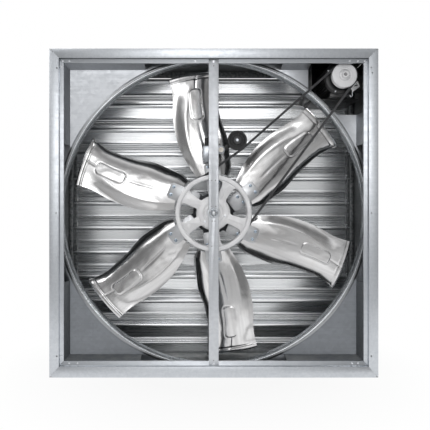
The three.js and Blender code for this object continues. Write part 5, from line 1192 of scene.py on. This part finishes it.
def floor_finish():
    ground = bpy.data.materials.new("pale_floor")
    ground.use_nodes = True
    tree = ground.node_tree
    shader = tree.nodes["Principled BSDF"]
    shader.inputs["Roughness"].default_value = 0.7
    where = add(tree, "ShaderNodeTexCoord").outputs["Object"]
    tones = {"Factor": cloud(tree, where, 3.0, 4.0)[0], "A": (0.80, 0.80, 0.80, 1), "B": (0.84, 0.84, 0.84, 1)}
    tone = add(tree, "ShaderNodeMix", tones, data_type="RGBA").outputs["Result"]
    tree.links.new(tone, shader.inputs["Base Color"])
    # The floor is whitest away from the fan. Behind the camera it stays plain to what only reflects it.
    place_on_floor = combined(tree, "ADD", where, FLOOR_START, VECTOR_MATH)
    distance = add(tree, VECTOR_MATH, {0: place_on_floor}, operation="LENGTH").outputs["Value"]
    far = ranged(tree, distance, 0.35, 1.0, 0.88, 1.0)
    before = ranged(tree, split(tree, place_on_floor)["Y"], -1.08, -0.80)
    camera, mirrored = seen_rays(tree)
    amount = combined(tree, "MULTIPLY", far, combined(tree, "MAXIMUM", before, camera))
    share = combined(tree, "MULTIPLY", combined(tree, "MAXIMUM", camera, mirrored), amount)
    white = add(tree, "ShaderNodeEmission", {"Color": WHITE, "Strength": 1.0}).outputs[0]
    blend = add(tree, "ShaderNodeMixShader", {0: share, 1: shader.outputs[0], 2: white})
    tree.links.new(blend.outputs[0], tree.nodes["Material Output"].inputs["Surface"])
    return ground


def level_ramp(tree, value, stops):
    node = add(tree, "ShaderNodeValToRGB", {0: ranged(tree, value, -1.0, 1.0)})
    ramp = node.color_ramp
    ramp.interpolation = "EASE"
    while len(ramp.elements) > 1:
        ramp.elements.remove(ramp.elements[-1])
    for i, (place_at, level) in enumerate(stops):
        stop = ramp.elements[0] if i == 0 else ramp.elements.new(place_at / 2 + 0.5)
        stop.position = place_at / 2 + 0.5
        stop.color = (level, level, level, 1)
    return node.outputs[0]


def build_floor():
    mesh = bpy.data.meshes.new("studio_floor")
    work = bmesh.new()
    bmesh.ops.create_grid(work, x_segments=12, y_segments=12, size=9)
    work.to_mesh(mesh)
    work.free()
    floor = bpy.data.objects.new("studio_floor", mesh)
    floor.location = (FLOOR_START[0], FLOOR_START[1], -FLOOR_BELOW)
    mesh.materials.append(floor_finish())
    bpy.context.scene.collection.objects.link(floor)


def build_world():
    """One broad soft light in front, brightest around the camera, with dark studio walls round it."""
    world = bpy.data.worlds.new("studio_world")
    bpy.context.scene.world = world
    world.use_nodes = True
    tree = world.node_tree
    direction = split(tree, add(tree, "ShaderNodeTexCoord").outputs["Generated"])
    front = combined(tree, "MULTIPLY", level_ramp(tree, direction["X"], FRONT_LIGHT_ACROSS),
                     level_ramp(tree, direction["Z"], FRONT_LIGHT_UPWARD))
    facing = ranged(tree, direction["Y"], -0.25, 0.1)
    shade = add(tree, "ShaderNodeMix", {"Factor": facing, "A": front, "B": BACK_LIGHT}, data_type="FLOAT").outputs[0]
    level = add(tree, "ShaderNodeCombineColor", {0: shade, 1: shade, 2: shade}).outputs[0]
    camera, mirrored = seen_rays(tree)
    behind = combined(tree, "MULTIPLY", mirrored, ranged(tree, direction["Y"], 0.0, 0.25))
    layers = {"Factor": combined(tree, "MAXIMUM", camera, behind), "A": level, "B": WHITE}
    sky = add(tree, "ShaderNodeMix", layers, data_type="RGBA").outputs["Result"]
    tree.links.new(sky, tree.nodes["Background"].inputs["Color"])


def build_softboxes():
    for name, spot, aim, size, power in SOFTBOXES:
        lamp = bpy.data.lights.new(name, "AREA")
        lamp.shape = "SQUARE"
        lamp.size = size
        lamp.energy = power
        holder = bpy.data.objects.new(name, lamp)
        holder.location = spot
        holder.rotation_euler = (Vector(aim) - Vector(spot)).to_track_quat("-Z", "Y").to_euler()
        bpy.context.scene.collection.objects.link(holder)


def build_camera():
    lens = bpy.data.cameras.new("photo_camera")
    lens.lens = 44.95
    lens.sensor_width = 36
    lens.sensor_fit = "HORIZONTAL"
    lens.shift_x = 0.0416
    lens.shift_y = -0.0045
    lens.clip_end = 50
    camera = bpy.data.objects.new("photo_camera", lens)
    camera.location = (-0.070, -2.450, 0.690)
    camera.rotation_euler = (math.radians(90), 0, 0)
    bpy.context.scene.collection.objects.link(camera)
    bpy.context.scene.camera = camera


build_floor()
build_world()
build_softboxes()
build_camera()
bpy.context.scene.view_settings.view_transform = "Standard"
